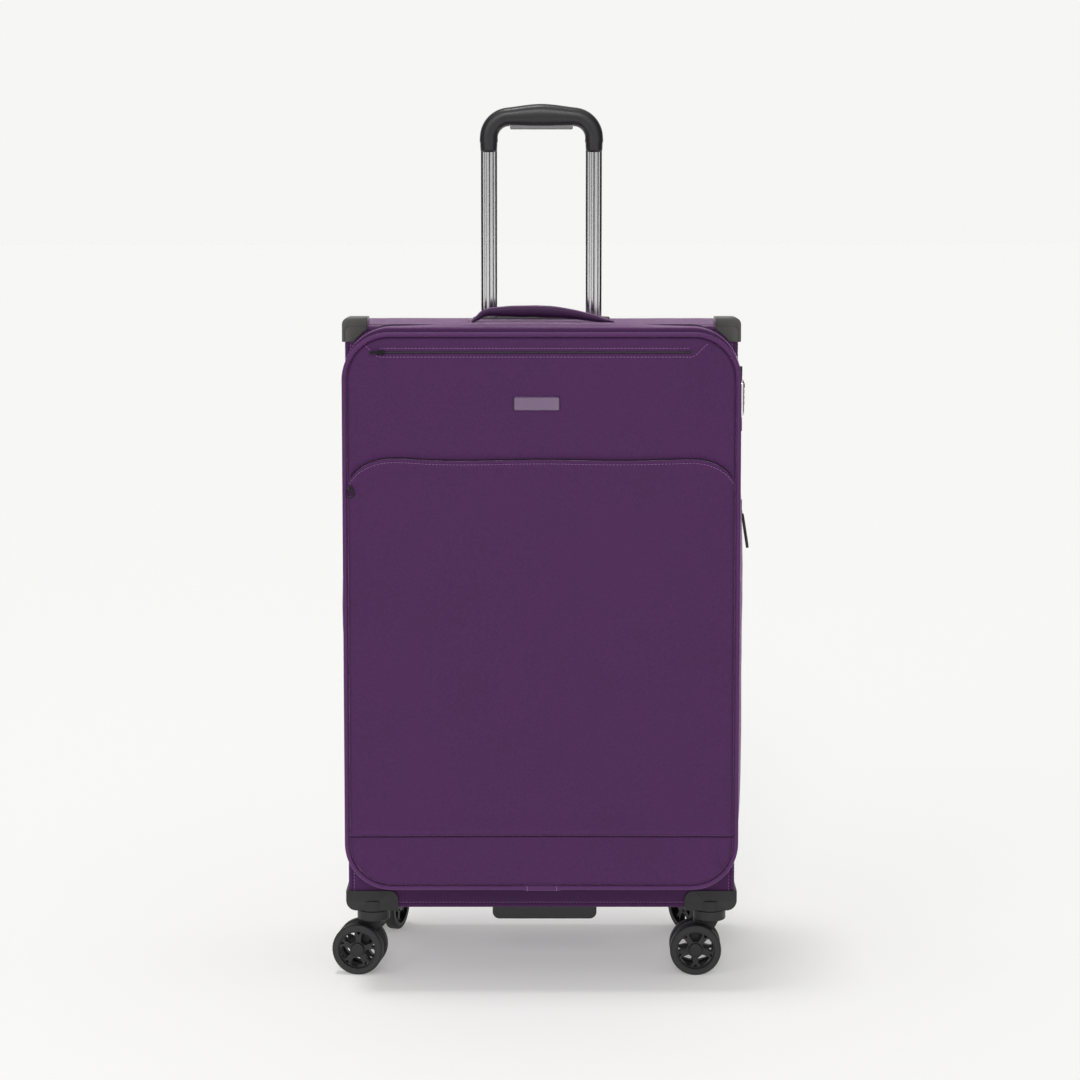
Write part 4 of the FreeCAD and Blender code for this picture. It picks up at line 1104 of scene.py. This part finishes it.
def add_side_handle():
    low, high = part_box("side_handle")
    y, wall = (low.y + high.y) / 2, high.x
    half, middle = (high.y - low.y) / 2, (low.z + high.z) / 2
    shape = [(-100, 1.4, 1.3, 16), (-94, 2.2, 1.9, 15.5), (-84, 4.0, 2.8, 14), (-70, 6.6, 3.6, 13),
             (-50, 8.4, 4.3, 12.6),
             (-25, 9.2, 4.8, 12.4), (0, 9.4, 4.9, 12.4), (25, 9.2, 4.8, 12.4), (50, 8.4, 4.3, 12.6),
             (70, 6.6, 3.6, 13),
             (84, 4.0, 2.8, 14), (94, 2.2, 1.9, 15.5), (100, 1.4, 1.3, 16)]
    stations = [(wall - d * MM, y, middle + s * MM, t * MM, w * half / 16) for s, d, t, w in shape]
    carry_handle("side_carry_handle", stations, "side_handle")
    sewn = []
    for z, sign in ((-93, 1), (93, -1)):
        corners = [(z - 6, -0.8), (z + 6, -0.8), (z + 6, 0.8), (z - 6, 0.8)]
        row = [Vector((wall - (2.2 + (3.6 if (a - z) * sign > 0 else 0.9)) * MM, y + b * half * 0.8,
                       middle + a * MM)) for a, b in corners]
        sewn.append(stitches(row, (-1, 0, 0), True))
    add_piece("side_handle_stitching", join_lists(sewn), THREAD, "case", "case_fabric")


def add_grip():
    """Arched moulded grip on the two tubes, one sweep from collar to collar."""
    low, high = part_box("handle_grip")
    y, middle = (low.y + high.y) / 2, (low.x + high.x) / 2
    leg = (high.x - low.x) / 2 - 12 * MM
    deep = (high.y - low.y) / 2
    collar = [(leg, low.z, 11.0), (leg, low.z + 4 * MM, 11.2), (leg, low.z + 10 * MM, 11.4),
              (leg, low.z + 14.0 * MM, 11.6),
              (leg, low.z + 14.6 * MM, 12.3), (leg, low.z + 17 * MM, 12.2)]
    bend = 28 * MM
    turn_z = high.z - 17.2 * MM - bend
    arc = []
    for n in range(0, 13):
        a = math.radians(90 * n / 12)
        arc.append((leg - bend + bend * math.cos(a), turn_z + bend * math.sin(a), 12.0 + 0.5 * n / 12))
    bar = [(0.030, high.z - 16.6 * MM, 13.6), (0.018, high.z - 16.0 * MM, 14.8),
           (0.006, high.z - 15.6 * MM, 15.4)]
    side = [p for p in collar + arc + bar if not (p in arc and p[1] < low.z + 17 * MM)]
    stations = [(middle + x, y, z, t * MM, deep) for x, z, t in side]
    stations += [(middle, y, high.z - 15.5 * MM, 15.5 * MM, deep)]
    stations += [(2 * middle - x, yy, z, t, w) for x, yy, z, t, w in reversed(stations[:-1])]
    rings = sweep(stations, (0, 1, 0), 40, 2.35)
    grip = make_object("pull_handle_grip", *loft(rings, True, True), GRIP)
    rounding = grip.modifiers.new("smooth", "SUBSURF")
    rounding.levels = rounding.render_levels = 1
    apply_modifiers(grip)
    button_low, button_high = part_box("release_button")
    room = Vector((0.6, 0.6, 0)) * MM
    carve(grip, button_low - room, button_high + room + Vector((0, 0, 4.5)) * MM)
    finish_piece(grip, "handle", "grip_plastic", "handle_grip")


def fluted(half_wide, half_deep, sides=96):
    """Outline of a drawn tube: a rounded rectangle with shallow flutes front and back."""
    points = []
    for k in range(sides):
        a = math.tau * k / sides
        c, s = math.cos(a), math.sin(a)
        x = half_wide * math.copysign(abs(c) ** 0.62, c)
        y = half_deep * math.copysign(abs(s) ** 0.62, s)
        across = x / half_wide
        dip = (bump_at(across, -0.30, 0.16, 0.055)
               + bump_at(across, 0.42, 0.14, 0.045)) * half_wide * smoothstep(0.5, 0.9, abs(s))
        points.append((x, y - math.copysign(dip, y)))
    return points


def add_tubes():
    for name, node, body, slot in (
            ("inner_handle_tubes", "inner_tubes", "handle", "polished_tube"),
            ("outer_handle_tubes", "outer_tubes", "case", "plain_tube")):
        low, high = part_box(node)
        deep = (high.y - low.y) / 2
        wide = 10.95 * MM if node == "inner_tubes" else 12.7 * MM
        wall = 1.3 * MM
        y = (low.y + high.y) / 2
        made = []
        for x in (low.x + wide, high.x - wide):
            outer, inner = fluted(wide, deep), fluted(wide - wall, deep - wall)
            between = [low.z + (high.z - low.z) * n / 12 for n in range(1, 12)]
            heights = [low.z, low.z + 0.6 * MM] + between + [high.z - 0.6 * MM, high.z]
            rings = [[(x + p, y + q, z) for p, q in outer] for z in heights]
            rings += [[(x + p, y + q, z) for p, q in inner] for z in reversed(heights)]
            made.append(closed_loft(rings))
        add_piece(name, join_lists(made), BRIGHT if body == "handle" else SATIN, body, slot, node)


def add_packing_straps():
    """Two flat straps across the inside, slack between the walls and the buckle."""
    low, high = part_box("packing_straps")
    buckle_low, buckle_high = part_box("strap_buckle")
    rows, width = 90, 9
    made = []
    for start, end in ((low.x, buckle_low.x + 3 * MM), (buckle_high.x - 3 * MM, high.x)):
        front, back = [], []
        for j in range(rows + 1):
            share = j / rows
            x = start + (end - start) * share
            slack = math.sin(math.pi * share)
            wave = 1.0 * MM * math.sin(9 * share + start * 20) * slack
            y = (low.y + high.y) / 2 - abs(wave) - 0.4 * MM
            for k in range(width):
                z = low.z + (high.z - low.z) * k / (width - 1) - 5.0 * MM * slack
                front.append((x, y - 0.5 * MM, z))
                back.append((x, y + 0.5 * MM, z))
        made.append((front + back, sheet_faces(rows + 1, width)))
    add_piece("inner_packing_straps", join_lists(made), WEBBING, "case", "lining_fabric", "packing_straps")


add_top_handle()
add_side_handle()
add_grip()
add_tubes()
add_packing_straps()


# Finishes of the CAD parts that keep their shape

def at_corners(*stems):
    """Names of the parts that each of the four casters has."""
    return [stem + "_" + end + side for stem in stems for end in ("front", "rear")
            for side in ("_left", "_right")]


FINISHES = {
    BLACK: ("bottom_grip", "handle_bezel", "tube_foot", "strap_buckle", *at_corners("wheel_housing", "fork")),
    WHEEL: at_corners("wheels"),
    TYRE: at_corners("tyres"),
    STEEL: ("caster_stems", "base_screws", "push_rods", *at_corners("axle")),
    BOARD: ("base_board", "back_board", "tube_plugs"),
    BUTTON: ("release_button",),
    CHROME: ("lock_case", "lock_cylinder"),
    GLOSS: ("lock_dial_1", "lock_dial_2", "lock_dial_3", "lock_release"),
    PLATE: ("name_plate",),
    GUNMETAL: ("main_slider_upper", "main_slider_lower", "expansion_slider", "expansion_pull",
               "pocket_slider",
               "side_pocket_pull"),
}
for material, names in FINISHES.items():
    for node_name in names:
        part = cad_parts[node_name]
        for place in part.material_slots:
            place.material = material
        if not part.material_slots:
            part.data.materials.append(material)


# Floor, light and camera

PAPER_LIGHT = (0.922, 0.922, 0.905)
SUN_FROM = (-0.11, -0.01, 1.0)
SUN_WIDE = 13.0
SUN_POWER = 0.90
FRONT_FROM = (-0.05, -1.0, 0.50)
FRONT_WIDE = 17.0
FRONT_POWER = 0.75
BOX_PLACE = (-1.9, -2.6, 2.4)
BOX_POWER = 12.0
WORLD_POWER = 0.56
CAMERA_SHIFT = -0.07
ROOM = 60.0
FLAG_HIGH = 3.2
FLAGS = (
    ("flag_front", (-0.85, -4.3), (0.22, -4.3)),
    ("flag_left", (-1.9, -1.6), (-1.6, 1.4)),
    ("flag_right", (1.7, -1.4), (1.5, 1.4)),
)


def stage_mesh(name, corners, material):
    mesh = bpy.data.meshes.new(name)
    mesh.from_pydata(corners, [], [(0, 1, 2, 3)])
    mesh.materials.append(material)
    made = bpy.data.objects.new(name, mesh)
    bpy.context.scene.collection.objects.link(made)
    return made


def add_light(name, kind, energy, place, towards, **settings):
    data = bpy.data.lights.new(name, kind)
    data.energy = energy
    for key, value in settings.items():
        setattr(data, key, value)
    lamp = bpy.data.objects.new(name, data)
    lamp.location = place
    lamp.rotation_euler = (Vector(place) - Vector(towards)).to_track_quat("Z", "Y").to_euler()
    bpy.context.scene.collection.objects.link(lamp)
    return lamp


def matt(name, colour, values):
    look = Look(name)
    set_sockets(look.shader, {"Base Color": (*colour, 1), "Specular IOR Level": 0.0, **values})
    return look.material


def add_stage():
    """Paper floor and pale backdrops, black flags seen only in reflections, and the lights."""
    lit = {"Emission Color": (*PAPER_LIGHT, 1)}
    paper = matt("studio_paper", (0.72, 0.72, 0.71), {"Roughness": 1.0, **lit, "Emission Strength": 0.265})
    stage_mesh("floor", [(-ROOM, -ROOM, 0), (ROOM, -ROOM, 0), (ROOM, ROOM, 0), (-ROOM, ROOM, 0)], paper)
    glow = matt("studio_backdrop", (0, 0, 0), {**lit, "Emission Strength": 1.0})
    far = ROOM - 1
    corners = [(-far, -far), (far, -far), (far, far), (-far, far)]
    for n, ((x0, y0), (x1, y1)) in enumerate(zip(corners, corners[1:] + corners[:1])):
        backdrop = stage_mesh("backdrop_%d" % n, [(x0, y0, -1), (x1, y1, -1), (x1, y1, ROOM), (x0, y0, ROOM)],
                              glow)
        backdrop.visible_diffuse = backdrop.visible_glossy = backdrop.visible_shadow = False
    black = matt("studio_flag", (0.005, 0.005, 0.006), {})
    for name, (x0, y0), (x1, y1) in FLAGS:
        flag = stage_mesh(name, [(x0, y0, 0.01), (x1, y1, 0.01), (x1, y1, FLAG_HIGH), (x0, y0, FLAG_HIGH)],
                          black)
        flag.visible_camera = flag.visible_diffuse = flag.visible_shadow = False
    add_light("overhead", "SUN", SUN_POWER, SUN_FROM, (0, 0, 0), angle=math.radians(SUN_WIDE))
    add_light("front", "SUN", FRONT_POWER, FRONT_FROM, (0, 0, 0), angle=math.radians(FRONT_WIDE))
    add_light("front_box", "AREA", BOX_POWER, BOX_PLACE, (0, -0.1, 0.55), shape="RECTANGLE", size=1.6,
              size_y=1.6)

    world = bpy.data.worlds.new("studio")
    bpy.context.scene.world = world
    world.use_nodes = True
    sky = world.node_tree.nodes["Background"]
    sky.inputs["Color"].default_value = (1.0, 1.0, 0.985, 1)
    sky.inputs["Strength"].default_value = WORLD_POWER


def add_camera():
    data = bpy.data.cameras.new("view")
    data.lens, data.sensor_width = 89.4, 36.0
    data.shift_y = CAMERA_SHIFT
    data.clip_end = 500.0
    camera = bpy.data.objects.new("view", data)
    camera.location = (MIDDLE - 1.9 * MM, -3.471, 0.994)
    camera.rotation_euler = (math.radians(90 - 5.61), 0.0, 0.0)
    bpy.context.scene.collection.objects.link(camera)
    bpy.context.scene.camera = camera


add_stage()
add_camera()
bpy.context.scene.view_settings.view_transform = "Standard"
